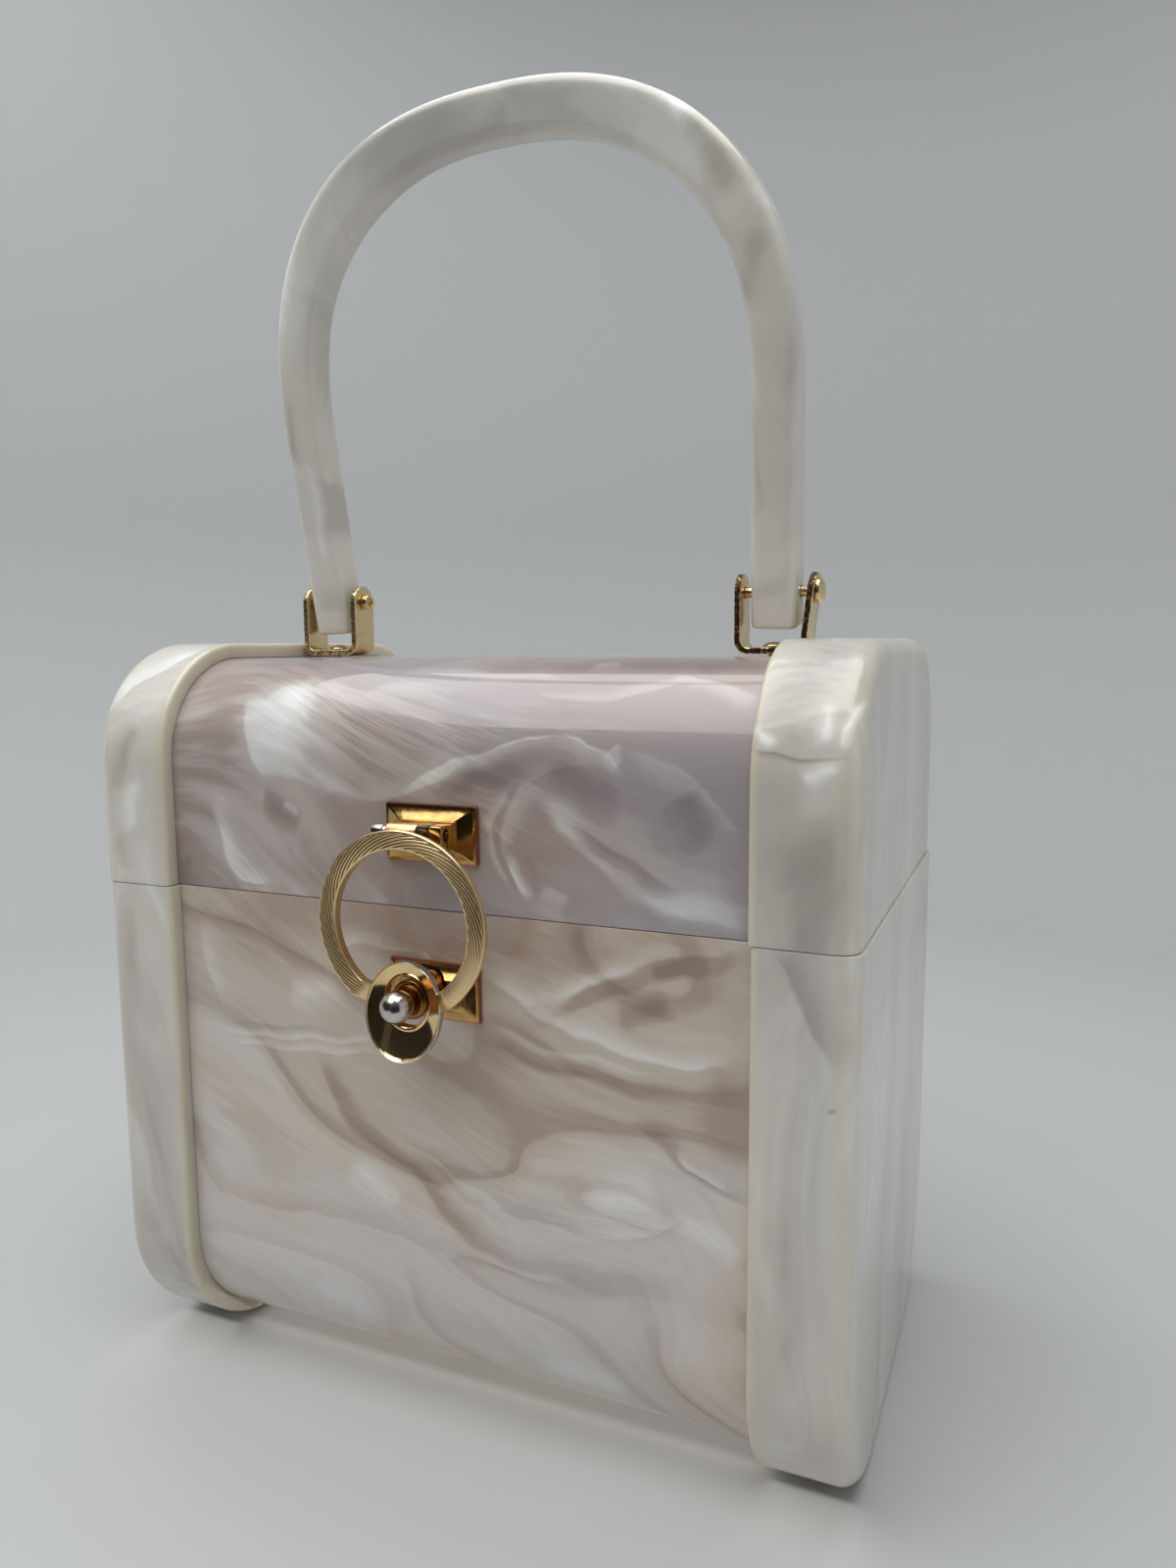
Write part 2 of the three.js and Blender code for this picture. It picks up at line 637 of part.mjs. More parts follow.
const purse = new THREE.Group();
const base = new THREE.Group();
const lid = new THREE.Group();
purse.add(base, lid);
base.position.x = LID_SIDE_STEP / 2;
lid.position.x = -LID_SIDE_STEP / 2;

const wrap = wholeWrap();
const sides = [['left', -1], ['right', 1]];
base.add(piece('base_wrap', wrap.subtract(aboveBase), marbledPearl));

let lidWrap = wrap.subtract(belowLid);
for (const [name, side] of sides) {
  const cap = wholeCap(side);
  base.add(piece(`base_cap_${name}`, cap.subtract(aboveBase), ivoryPearl));
  lid.add(piece(`lid_cap_${name}`, cap.subtract(belowLid), ivoryPearl));

  const splay = name === 'right' ? BRACKET_SPLAY : 0;
  const carrier = new THREE.Group();
  carrier.position.set(side * BRACKET_X, 0, WRAP_TOP + SEAT);
  const faceOut = side > 0 ? 0 : Math.PI;
  const bracket = piece(`bracket_${name}`, bracketSolid(splay), paleGold);
  const rivet = piece(`bracket_rivet_${name}`, rivetSolid(), paleGold);
  const pin = piece(`handle_pin_${name}`, handlePinSolid(splay, name === 'left'), paleGold);
  pin.position.z = PIN_HEIGHT;
  carrier.rotation.z = faceOut;
  carrier.add(bracket, rivet, pin);
  lid.add(carrier);
  lidWrap = lidWrap.subtract(rivetHole().translate([side * BRACKET_X, 0, WRAP_TOP]));

  const hinge = new THREE.Group();
  hinge.position.x = side * HINGE_X;
  const pinEnd = HINGE_WIDTH / 2;
  hinge.add(
    piece(`hinge_base_leaf_${name}`, leafSolid(-1), paleGold),
    piece(`hinge_lid_leaf_${name}`, leafSolid(1), paleGold),
    piece(`hinge_pin_${name}`, rodAlongX(HINGE_PIN_RADIUS, -pinEnd, pinEnd, HINGE_Y, SPLIT_HEIGHT), silver),
  );
  purse.add(hinge);
}
lid.add(piece('lid_wrap', lidWrap, marbledPearl));

const handle = piece('handle', handleSolid(), ivoryPearl);
handle.position.set(HANDLE_SIDE_STEP, 0, WRAP_TOP + SEAT + PIN_HEIGHT);
handle.rotation.x = HANDLE_LEAN;
lid.add(handle);

const upperPlate = piece('clasp_upper_plate', upperPlateSolid(), warmGold);
upperPlate.position.set(0, WRAP_FRONT, UPPER_PLATE_Z);
const claspPin = rodAlongX(CLASP_PIN_RADIUS, CLASP_PIN_LEFT, CHEEK_RIGHT, -PIVOT_OUT, PIVOT_Z);
const ringParts = new THREE.Group();
ringParts.position.y = WRAP_FRONT;
ringParts.add(
  piece('clasp_hinge_pin', claspPin, silver),
  piece('clasp_ring', claspRingSolid(), paleGold),
);
lid.add(upperPlate, ringParts);

const lowerPlate = piece('clasp_lower_plate', lowerPlateSolid(), warmGold);
lowerPlate.position.set(0, WRAP_FRONT, LOWER_PLATE_Z);
const stud = piece('clasp_stud', studSolid(), warmGold);
stud.position.set(STUD_X, WRAP_FRONT, STUD_Z);
const ball = piece('clasp_ball', ballSolid(), silver);
ball.position.set(STUD_X, WRAP_FRONT - BALL_OUT, STUD_Z);
base.add(lowerPlate, stud, ball);

// The origin lies under the middle of everything: halfway from the ball's tip to the hinges' backs.
const frontReach = -WRAP_FRONT + BALL_OUT + BALL_RADIUS;
const backReach = HINGE_Y + HINGE_BARREL_RADIUS;
purse.position.y = (frontReach - backReach) / 2;

export default purse;
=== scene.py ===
# %% [markdown]
# # An acrylic box purse
# The purse is a hard box of marbled pearl sheet between two ivory end caps. A level cut parts it into a
# base and a lid. The lid carries an arched handle on two brackets, and a ring clasp drops over a stud.
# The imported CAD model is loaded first, and each visible piece is then worked out again more finely.

# %% Load the frame
import math

import bmesh
import bpy
import numpy as np
from mathutils import Matrix, Vector


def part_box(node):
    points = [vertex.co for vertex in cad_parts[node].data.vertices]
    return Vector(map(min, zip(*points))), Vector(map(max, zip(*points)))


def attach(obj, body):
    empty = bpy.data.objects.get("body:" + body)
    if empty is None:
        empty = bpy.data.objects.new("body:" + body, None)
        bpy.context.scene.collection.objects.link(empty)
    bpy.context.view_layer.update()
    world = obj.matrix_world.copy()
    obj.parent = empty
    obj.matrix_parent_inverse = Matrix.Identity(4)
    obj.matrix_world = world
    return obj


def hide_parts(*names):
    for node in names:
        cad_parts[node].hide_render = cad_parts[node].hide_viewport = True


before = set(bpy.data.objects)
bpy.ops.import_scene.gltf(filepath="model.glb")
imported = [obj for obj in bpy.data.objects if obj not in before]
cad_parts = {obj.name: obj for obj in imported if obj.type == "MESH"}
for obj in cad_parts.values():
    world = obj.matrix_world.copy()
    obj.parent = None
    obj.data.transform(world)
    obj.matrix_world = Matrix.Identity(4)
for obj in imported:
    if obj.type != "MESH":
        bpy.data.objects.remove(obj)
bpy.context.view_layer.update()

MM = 0.001


# %% [markdown]
# ## Where things are
# All sizes below are in millimetres, in a frame whose origin lies under the middle of the box. The CAD
# frame is centred on everything, clasp and hinges included, so its middle lies a little further back.
# The base and the lid don't sit quite in line. Both facts are read from the CAD's own end caps.

# %% Read the offsets


def node_middle(node):
    """Middle of a CAD node's box, in millimetres."""
    low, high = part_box(node)
    return (np.array(low) + np.array(high)) / 2 / MM


MIDDLE_Y = node_middle("base_cap_left")[1]
BASE_X = (node_middle("base_cap_left")[0] + node_middle("base_cap_right")[0]) / 2
LID_X = (node_middle("lid_cap_left")[0] + node_middle("lid_cap_right")[0]) / 2
print(f"box middle at y {MIDDLE_Y:.2f}, base at x {BASE_X:.2f}, lid at x {LID_X:.2f} mm")

# %% [markdown]
# ## Camera
# The photograph was taken from close by, to the right of the front and a little above the clasp. The
# camera's place, turn and focal length were fitted to the box's corners, which are known to be square.
# Blender measures the lens against the longer side of the picture, here 1600 pixels on 36 mm.

# %% Place the camera
PICTURE_HEIGHT = 1600
SENSOR = 36.0
FOCAL_PIXELS = 1119.81
CAMERA_PLACE = (100.24, -209.17, 147.64)
YAW = 0.404
PITCH = -0.1261
ROLL = -0.0071

forward = Vector((-math.sin(YAW) * math.cos(PITCH), math.cos(YAW) * math.cos(PITCH), math.sin(PITCH)))
level = Vector((math.cos(YAW), math.sin(YAW), 0))
upward = level.cross(forward)
right = math.cos(ROLL) * level + math.sin(ROLL) * upward
top = math.cos(ROLL) * upward - math.sin(ROLL) * level
turn = Matrix((right, top, -forward)).transposed().to_4x4()
place = Vector(CAMERA_PLACE) + Vector((0, MIDDLE_Y, 0))

lens = bpy.data.cameras.new("camera")
lens.sensor_fit = "VERTICAL"
lens.sensor_height = SENSOR
lens.lens = FOCAL_PIXELS / PICTURE_HEIGHT * SENSOR
lens.clip_start = 0.01
camera = bpy.data.objects.new("camera", lens)
camera.matrix_world = Matrix.Translation(place * MM) @ turn
bpy.context.scene.collection.objects.link(camera)
bpy.context.scene.camera = camera
print(f"lens {lens.lens:.2f} mm")


# %% [markdown]
# ## From arrays to meshes
# A skin is a set of points, the faces between them and one number a point, called its mark. Marks carry
# what a finish has to know, such as where an edge was sheared. Most skins come from a grid of points:
# each four neighbours make a face, and a closed direction joins its last line to its first.

# %% Skins


def skin(grid, close_rows=False, close_columns=False, lids=(), mark=0.0):
    """Faces between neighbours in a grid [row, column, xyz]; lids are lists of point numbers to fill."""
    rows, columns, _ = grid.shape
    index = np.arange(rows * columns).reshape(rows, columns)
    if close_rows:
        index = np.vstack([index, index[:1]])
    if close_columns:
        index = np.hstack([index, index[:, :1]])
    corners = [index[:-1, :-1], index[1:, :-1], index[1:, 1:], index[:-1, 1:]]
    faces = np.stack(corners, axis=-1).reshape(-1, 4).tolist()
    faces += [list(map(int, lid)) for lid in lids]
    marks = np.broadcast_to(mark, (rows, columns)).reshape(-1)
    return grid.reshape(-1, 3), faces, marks


def first_and_last_row(grid):
    """Point numbers of the two end rows of a grid, for filling the ends of a tube."""
    rows, columns, _ = grid.shape
    return np.arange(columns), np.arange((rows - 1) * columns, rows * columns)


def moved(part, offset):
    """The same skin, shifted by an offset in millimetres."""
    points, faces, marks = part
    return points + np.array(offset), faces, marks


# %% [markdown]
# Joining skins into a piece welds the points that coincide, drops faces without area and turns all faces
# outward. Edges sharper than a given angle stay crisp, and the rest are shaded smooth.

# %% Pieces
WELD = 2e-7
CRISP_ANGLE = 40
SOFT_STEPS = 2


def mesh_from(name, skins):
    """One mesh in metres, in the CAD frame, from skins in millimetres."""
    starts = np.cumsum([0] + [len(points) for points, _, _ in skins])
    points = np.vstack([points for points, _, _ in skins]) + (0, MIDDLE_Y, 0)
    faces = [[start + i for i in face] for (_, part, _), start in zip(skins, starts) for face in part]
    mesh = bpy.data.meshes.new(name)
    mesh.from_pydata((points * MM).tolist(), [], faces)
    marks = np.concatenate([marks for _, _, marks in skins]).astype(np.float32)
    mesh.attributes.new("mark", "FLOAT", "POINT").data.foreach_set("value", marks)
    work = bmesh.new()
    work.from_mesh(mesh)
    bmesh.ops.remove_doubles(work, verts=work.verts, dist=WELD)
    bmesh.ops.dissolve_degenerate(work, edges=work.edges, dist=WELD)
    bmesh.ops.recalc_face_normals(work, faces=work.faces)
    work.to_mesh(mesh)
    work.free()
    return mesh


def make_piece(name, skins, body, finish, stands_for=(), crisp=CRISP_ANGLE):
    """Object at the origin that rides a body, wears a finish and stands for CAD nodes."""
    mesh = mesh_from(name, skins)
    mesh.shade_smooth()
    mesh.set_sharp_from_angle(angle=math.radians(crisp))
    piece = bpy.data.objects.new(name, mesh)
    bpy.context.scene.collection.objects.link(piece)
    mesh.materials.append(finish)
    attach(piece, body)
    if stands_for:
        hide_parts(*stands_for)
    print(f"{name}: {len(mesh.vertices)} points, {len(mesh.polygons)} faces")
    return piece


def soften_edges(piece, width):
    """Bevel the edges that turn by more than the crisp angle, such as those of a saw cut."""
    step = piece.modifiers.new("soft edges", "BEVEL")
    step.limit_method = "ANGLE"
    step.angle_limit = math.radians(CRISP_ANGLE)
    step.width = width * MM
    step.segments = SOFT_STEPS
    step.use_clamp_overlap = False
    step.harden_normals = True


def drill(piece, skins, crisp=CRISP_ANGLE):
    """Cut closed skins out of a piece with the exact Boolean, and keep the result as its mesh."""
    tool = bpy.data.objects.new("drill", mesh_from("drill", skins))
    bpy.context.scene.collection.objects.link(tool)
    step = piece.modifiers.new("drill", "BOOLEAN")
    step.operation = "DIFFERENCE"
    step.solver = "EXACT"
    step.object = tool
    result = piece.evaluated_get(bpy.context.evaluated_depsgraph_get())
    mesh = bpy.data.meshes.new_from_object(result)
    piece.modifiers.remove(step)
    piece.data = mesh
    bpy.data.objects.remove(tool)
    mesh.shade_smooth()
    mesh.set_sharp_from_angle(angle=math.radians(crisp))
    print(f"{piece.name}: drilled, {len(mesh.polygons)} faces")


# %% [markdown]
# ## Shapes that come back
# A few shapes are used again and again: a rounded rectangle, a turned body, a rod or tube as the simplest
# turned bodies, and a block with soft edges.

# %% Rounded rectangle, turned body, soft block
QUARTER = math.pi / 2
EASE_REACH = 0.45


def rounded_rectangle(width, height, radius, corner, flats):
    """Closed outline: four quarter circles and the flats between them. Gives points and outward normals."""
    steps = np.linspace(0, QUARTER, corner + 1)
    points = []
    normals = []
    for number, (across, along) in enumerate([(1, 1), (-1, 1), (-1, -1), (1, -1)]):
        angles = steps + number * QUARTER
        normal = np.stack([np.cos(angles), np.sin(angles)], axis=1)
        centre = np.array([across * (width / 2 - radius), along * (height / 2 - radius)])
        points.append(centre + radius * normal)
        normals.append(normal)
    for number in range(4):
        share = np.linspace(0, 1, flats[number % 2] + 1)[1:-1, None]
        end = points[(number + 1) % 4][0]
        flat = points[number][-1] + share * (end - points[number][-1])
        points[number] = np.vstack([points[number], flat])
        normals[number] = np.vstack([normals[number], np.repeat(normals[number][-1:], len(flat), axis=0)])
    return np.vstack(points), np.vstack(normals)


def eased(rows, radius, steps=4):
    """Polyline whose inner corners are replaced by short curves that start a radius before them."""
    rows = np.array(rows, float)
    share = np.linspace(0, 1, steps + 1)[:, None]
    result = [rows[:1]]
    for before, corner, after in zip(rows[:-2], rows[1:-1], rows[2:]):
        back = np.linalg.norm(before - corner)
        on = np.linalg.norm(after - corner)
        start = corner + (before - corner) / back * min(radius, back * EASE_REACH)
        end = corner + (after - corner) / on * min(radius, on * EASE_REACH)
        result.append((1 - share) ** 2 * start + 2 * share * (1 - share) * corner + share ** 2 * end)
    result.append(rows[-1:])
    return np.vstack(result)


AXES = {"x": (2, 0, 1), "y": (0, 2, 1), "z": (0, 1, 2)}


def turned(rows, axis, sides=48):
    """Rows of [radius, distance along] swung round an axis. The front is -Y, so along y runs backward."""
    rows = np.array(rows, float)
    angles = np.linspace(0, 2 * math.pi, sides, endpoint=False)
    radius = rows[:, :1]
    flat = [radius * np.cos(angles), radius * np.sin(angles), np.repeat(rows[:, 1:], sides, axis=1)]
    if axis == "y":
        flat[2] = -flat[2]
    grid = np.stack([flat[i] for i in AXES[axis]], axis=-1)
    return skin(grid, close_columns=True)


def rod_rows(radius, left, right_end):
    """Rows of a plain rod along its axis, from the middle of one end to the middle of the other."""
    return [[0, left], [radius, left], [radius, right_end], [0, right_end]]


def tube_rows(bore, radius, left, right_end, ease):
    """Rows of a tube with eased outer edges, closed along its bore."""
    rows = [[bore, left], [radius, left], [radius, right_end], [bore, right_end]]
    return np.vstack([eased(rows, ease), rows[:1]])


def soft_block(low, high, radius, steps=4):
    """Box with rounded edges: a ball whose eight eighths are pushed out to the box's corners."""
    low = np.array(low, float)
    high = np.array(high, float)
    inner = (high - low) / 2 - radius
    quarter = np.linspace(0, QUARTER, steps + 1)
    lon = np.concatenate([quarter + number * QUARTER for number in range(4)])
    lat = np.concatenate([quarter - QUARTER, quarter])
    side_x = np.repeat([1, -1, -1, 1], steps + 1)
    side_y = np.repeat([1, 1, -1, -1], steps + 1)
    side_z = np.repeat([-1, 1], steps + 1)[:, None]
    x = inner[0] * side_x + radius * np.cos(lat)[:, None] * np.cos(lon)
    y = inner[1] * side_y + radius * np.cos(lat)[:, None] * np.sin(lon)
    z = inner[2] * side_z + radius * np.sin(lat)[:, None] * np.ones_like(lon)
    grid = np.stack([x, y, z], axis=-1) + (low + high) / 2
    return skin(grid, close_columns=True, lids=first_and_last_row(grid))


# %% [markdown]
# ## Finishes
# A finish is a node tree on Object coordinates, which are metres in the CAD frame, because every piece
# sits at the origin. A small class keeps the tree readable. Values that are the same all over a surface
# are set on the shader's own sockets.

# %% A short way to write node trees


def tint(code):
    """Colour for a socket from an sRGB hex code: each channel is made linear."""
    channels = np.array([int(code[i : i + 2], 16) for i in (0, 2, 4)]) / 255
    linear = np.where(channels < 0.04045, channels / 12.92, ((channels + 0.055) / 1.055) ** 2.4)
    return (*linear.tolist(), 1.0)


class Finish:
    """A material whose nodes are added one at a time; a socket takes a number, a colour or an output."""

    def __init__(self, name, **values):
        self.material = bpy.data.materials.new(name)
        self.material.use_nodes = True
        self.tree = self.material.node_tree
        self.shader = self.tree.nodes["Principled BSDF"]
        for socket, value in values.items():
            self.shader.inputs[socket.replace("_", " ")].default_value = value

    def put(self, socket, value):
        """Link an output to a socket, or set the socket's own value."""
        if isinstance(value, bpy.types.NodeSocket):
            self.tree.links.new(value, socket)
        elif isinstance(value, (int, float)) and hasattr(socket.default_value, "__len__"):
            socket.default_value = (value,) * len(socket.default_value)
        else:
            socket.default_value = value

    def add(self, kind, inputs=(), **settings):
        """New node of a kind, with its settings and what goes into its sockets."""
        node = self.tree.nodes.new("ShaderNode" + kind)
        for key, value in settings.items():
            setattr(node, key, value)
        for key, value in dict(inputs).items():
            self.put(node.inputs[key], value)
        return node

    def wear(self, **links):
        """Put values on the shader's sockets and give the finished material."""
        for socket, value in links.items():
            self.put(self.shader.inputs[socket.replace("_", " ")], value)
        return self.material

    def place(self):
        """Object coordinates in metres."""
        return self.add("TexCoord").outputs["Object"]

    def stretch(self, vector, scale):
        """Coordinates times a factor along each axis."""
        return self.add("Mapping", {"Vector": vector, "Scale": scale}).outputs["Vector"]

    def noise(self, vector, scale, detail, roughness=0.5):
        """Cloudy noise, as a node with a colour and a single value."""
        inputs = {"Vector": vector, "Scale": scale, "Detail": detail, "Roughness": roughness}
        return self.add("TexNoise", inputs)

    def sum(self, operation, first, second=0.0, third=0.0):
        """One step of arithmetic."""
        node = self.add("Math", operation=operation)
        for socket, value in zip(node.inputs, (first, second, third)):
            self.put(socket, value)
        return node.outputs[0]

    def span(self, value, low, high, to_low=0.0, to_high=1.0):
        """Smooth step: a range of values carried over to another range and held at its ends."""
        inputs = {"Value": value, "From Min": low, "From Max": high, "To Min": to_low, "To Max": to_high}
        return self.add("MapRange", inputs, interpolation_type="SMOOTHSTEP").outputs["Result"]

    def shifted(self, vector, source, amount):
        """Coordinates moved by an amount times a noise colour, which is centred on zero first."""
        centred = self.add("VectorMath", {0: source, 1: (0.5, 0.5, 0.5)}, operation="SUBTRACT")
        inputs = {0: centred.outputs[0], 1: (amount,) * 3, 2: vector}
        return self.add("VectorMath", inputs, operation="MULTIPLY_ADD").outputs[0]

    def ramp(self, value, stops):
        """Colour from a value through stops, which are positions and colours."""
        node = self.add("ValToRGB", {"Fac": value})
        elements = node.color_ramp.elements
        node.color_ramp.interpolation = "EASE"
        while len(elements) < len(stops):
            elements.new(1.0)
        for element, (position, colour) in zip(elements, stops):
            element.position = position
            element.color = colour
        return node.outputs["Color"]

    def mix(self, share, first, second):
        """First colour with a share of the second one."""
        node = self.add("Mix", data_type="RGBA")
        for key, value in (("Factor_Float", share), ("A_Color", first), ("B_Color", second)):
            socket = next(s for s in node.inputs if s.identifier == key)
            self.put(socket, value)
        return next(s for s in node.outputs if s.identifier == "Result_Color")

    def bump(self, height, distance):
        """Normal tilted by a height, whose unit is a distance in metres."""
        inputs = {"Height": height, "Distance": distance, "Strength": 1.0}
        return self.add("Bump", inputs).outputs["Normal"]

    def mark(self):
        """The piece's own number a point."""
        return self.add("Attribute", attribute_name="mark").outputs["Fac"]


# %% [markdown]
# ## Marbled pearl
# Pearl sheet is clear acrylic full of tiny flakes that lie along the way it flowed before it set. Where
# they tilt towards the light they flash white, and elsewhere they look mauve or taupe. The flow is made
# by moving the coordinates with soft noise, twice, before the last noise is read: that folds the pattern
# over itself. The sheet was marbled flat and bent later, so the coordinates are those of the flat sheet:
# x, and the way along the sheet from the front cut, which is stored as the wrap's mark.

# %% Flow of the flakes


def sheet_place(finish):
    """Flat coordinates of a wrap in metres: x, and the mark."""
    x = finish.add("SeparateXYZ", {"Vector": finish.place()}).outputs["X"]
    return finish.add("CombineXYZ", {"X": x, "Y": finish.mark()}).outputs["Vector"]


def front_place(finish):
    """Coordinates as seen from the front in metres: x and z."""
    parts = finish.add("SeparateXYZ", {"Vector": finish.place()}).outputs
    return finish.add("CombineXYZ", {"X": parts["X"], "Y": parts["Z"]}).outputs["Vector"]


FIRST_NOISE = {"scale": 0.8, "detail": 1.5}
SECOND_NOISE = {"scale": 1.0, "detail": 1.2}
LAST_NOISE = {"scale": 1.0, "detail": 0.8, "roughness": 0.4}
STRAND_NOISE = {"scale": 2.2, "detail": 3.0, "roughness": 0.55}
STRAND_STRETCH = (1.2, 6.0, 3.5)
SECOND_FOLD = 1.25


def flow_field(finish, place, scale, stretch, folds, lean, start):
    """Folded noise: coordinates moved by noise, moved again, then read by a last noise and a finer one."""
    inputs = {"Vector": place, "Scale": (scale,) * 3, "Rotation": lean, "Location": start}
    long_way = finish.stretch(finish.add("Mapping", inputs).outputs["Vector"], stretch)
    first = finish.noise(long_way, **FIRST_NOISE).outputs["Color"]
    once = finish.shifted(long_way, first, folds)
    second = finish.noise(once, **SECOND_NOISE).outputs["Color"]
    twice = finish.shifted(long_way, second, folds * SECOND_FOLD)
    field = finish.noise(twice, **LAST_NOISE).outputs["Fac"]
    strands = finish.noise(finish.stretch(twice, STRAND_STRETCH), **STRAND_NOISE).outputs["Fac"]
    return field, strands, second


# %% [markdown]
# The largest folds of the sheet have their own places, and so do a few painted highlights, painted
# reflections and painted shades. Each is a bent stroke: a soft ridge along a shallow bow between two points,
# which lightens the tone where it is positive and darkens it where it is negative.
# Its line wanders a little with noise, so that it looks poured rather than drawn. A stroke also drags the
# coordinates of the ones laid after it. That gives Blender one chain of nodes to work through in turn,
# where side by side so many strokes would need more memory than a shader has.

# %% Strokes
STROKE_DRAG = 0.3
STROKE_ENDS = (0.15, 1.3)
SLOW_WANDER = {"scale": 60.0, "detail": 1.0}
SLOW_REACH = 0.007
QUICK_WANDER = {"scale": 190.0, "detail": 2.0}
QUICK_REACH = 0.0012


def stroke(finish, place, start, end, sag, half_width, fade):
    """exp(-w^2) fading out at the ends; w is the distance from the bow sag * (1 - u^2) in half widths, and
    on the soft side, the right-hand one of a positive fade, it counts fade times less."""
    start = np.array(start)
    end = np.array(end)
    if fade < 0:
        start, end, sag, fade = end, start, -sag, -fade
    middle = (start + end) / 2 * MM
    half = (end - start) / 2 * MM
    inputs = {
        "Vector": place,
        "Location": (*middle.tolist(), 0),
        "Rotation": (0, 0, math.atan2(half[1], half[0])),
        "Scale": (float(np.linalg.norm(half)), half_width * MM, 1),
    }
    local = finish.add("Mapping", inputs, vector_type="TEXTURE").outputs["Vector"]
    parts = finish.add("SeparateXYZ", {"Vector": local}).outputs
    squared = finish.sum("MULTIPLY", parts["X"], parts["X"])
    bow = finish.sum("MULTIPLY_ADD", squared, -sag / half_width, sag / half_width)
    away = finish.sum("SUBTRACT", parts["Y"], bow)
    away = finish.sum("MAXIMUM", away, finish.sum("MULTIPLY", away, -1 / fade))
    ridge = finish.sum("POWER", math.exp(-1), finish.sum("MULTIPLY", away, away))
    return finish.sum("MULTIPLY", ridge, finish.span(squared, *STROKE_ENDS, 1.0, 0.0))


def laid_strokes(finish, place, strokes):
    """Sum of the strokes' tones on coordinates that wander by a few millimetres."""
    slow = finish.noise(place, **SLOW_WANDER).outputs["Color"]
    quick = finish.noise(place, **QUICK_WANDER).outputs["Color"]
    wandering = finish.shifted(finish.shifted(place, slow, SLOW_REACH), quick, QUICK_REACH)
    total = 0.0
    for start, end, sag, half_width, fade, tone in strokes:
        ridge = stroke(finish, wandering, start, end, sag, half_width, fade)
        total = finish.sum("MULTIPLY_ADD", ridge, tone, total)
        inputs = {0: ridge, 1: (0, STROKE_DRAG * MM, 0), 2: wandering}
        wandering = finish.add("VectorMath", inputs, operation="MULTIPLY_ADD").outputs["Vector"]
    return total


# %% [markdown]
# Poured sheet lies in folds: across each one the tone stays light, sinks slowly into a taupe vein and comes
# back at a crisp bright edge. A saw wave of the flow field does that, because its level lines are long and
# never cross.
# Tone becomes colour through a ramp from taupe over grey to white. The same tone tilts the shading normal of
# the flakes, while the clear coat above them stays smooth.

# %% Pearl
# Columns: place across a fold, from 0 to 1, and tone.
FOLD_SHAPE = [
    (0.0, 0.57),
    (0.2, 0.61),
    (0.48, 0.59),
    (0.68, 0.52),
    (0.82, 0.41),
    (0.88, 0.38),
    (0.95, 0.52),
    (1.0, 0.57),
]
PLAIN_FIELD = (0.3, 0.7)
PLAIN_TONES = (0.25, 0.75)
VEIL_EDGES = (0.45, 0.65)
LIP_CREAM = "d3c9ae"


def folds_of(finish, field, count):
    """Saw wave of the field: the fraction of count times the field, through the shape of one fold."""
    step = finish.sum("FRACT", finish.sum("MULTIPLY", field, count))
    return finish.ramp(step, [(position, (tone, tone, tone, 1)) for position, tone in FOLD_SHAPE])


def pearl(name, stops, veil, flow, folds, relief, strokes, spread, strand, **values):
    """Finish from a flow and strokes. Folds are their count and share; the veil is the share of a warm and
    a cool tint that drift with the flow; spread gives the flat coordinates that the strokes are laid on."""
    finish = Finish(name, **values)
    flat = spread(finish)
    place = flat if spread is sheet_place else finish.place()
    field, strands, second = flow_field(finish, place, **flow)
    laid = laid_strokes(finish, flat, strokes)
    count, fold_share = folds
    plain = finish.span(field, *PLAIN_FIELD, *PLAIN_TONES)
    folded = finish.mix(fold_share, plain, folds_of(finish, field, count))
    fine = finish.sum("MULTIPLY_ADD", finish.sum("SUBTRACT", strands, 0.5), strand, folded)
    tone = finish.sum("ADD", fine, laid)
    drift = finish.add("SeparateColor", {"Color": second}).outputs
    veil_share, warm, cool = veil
    colour = finish.ramp(tone, [(position, tint(code)) for position, code in stops])
    for channel, code in (("Red", warm), ("Green", cool)):
        share = finish.span(drift[channel], *VEIL_EDGES, 0.0, veil_share)
        colour = finish.mix(share, colour, tint(code))
    if spread is front_place:
        colour = finish.mix(finish.mark(), colour, tint(LIP_CREAM))
    return finish.wear(Base_Color=colour, Normal=finish.bump(tone, relief * MM))


PEARL_SHEET = {
    "Metallic": 0.08,
    "Roughness": 0.34,
    "Coat_Weight": 0.7,
    "Coat_Roughness": 0.03,
    "Coat_IOR": 1.49,
    "Specular_IOR_Level": 0.2,
}
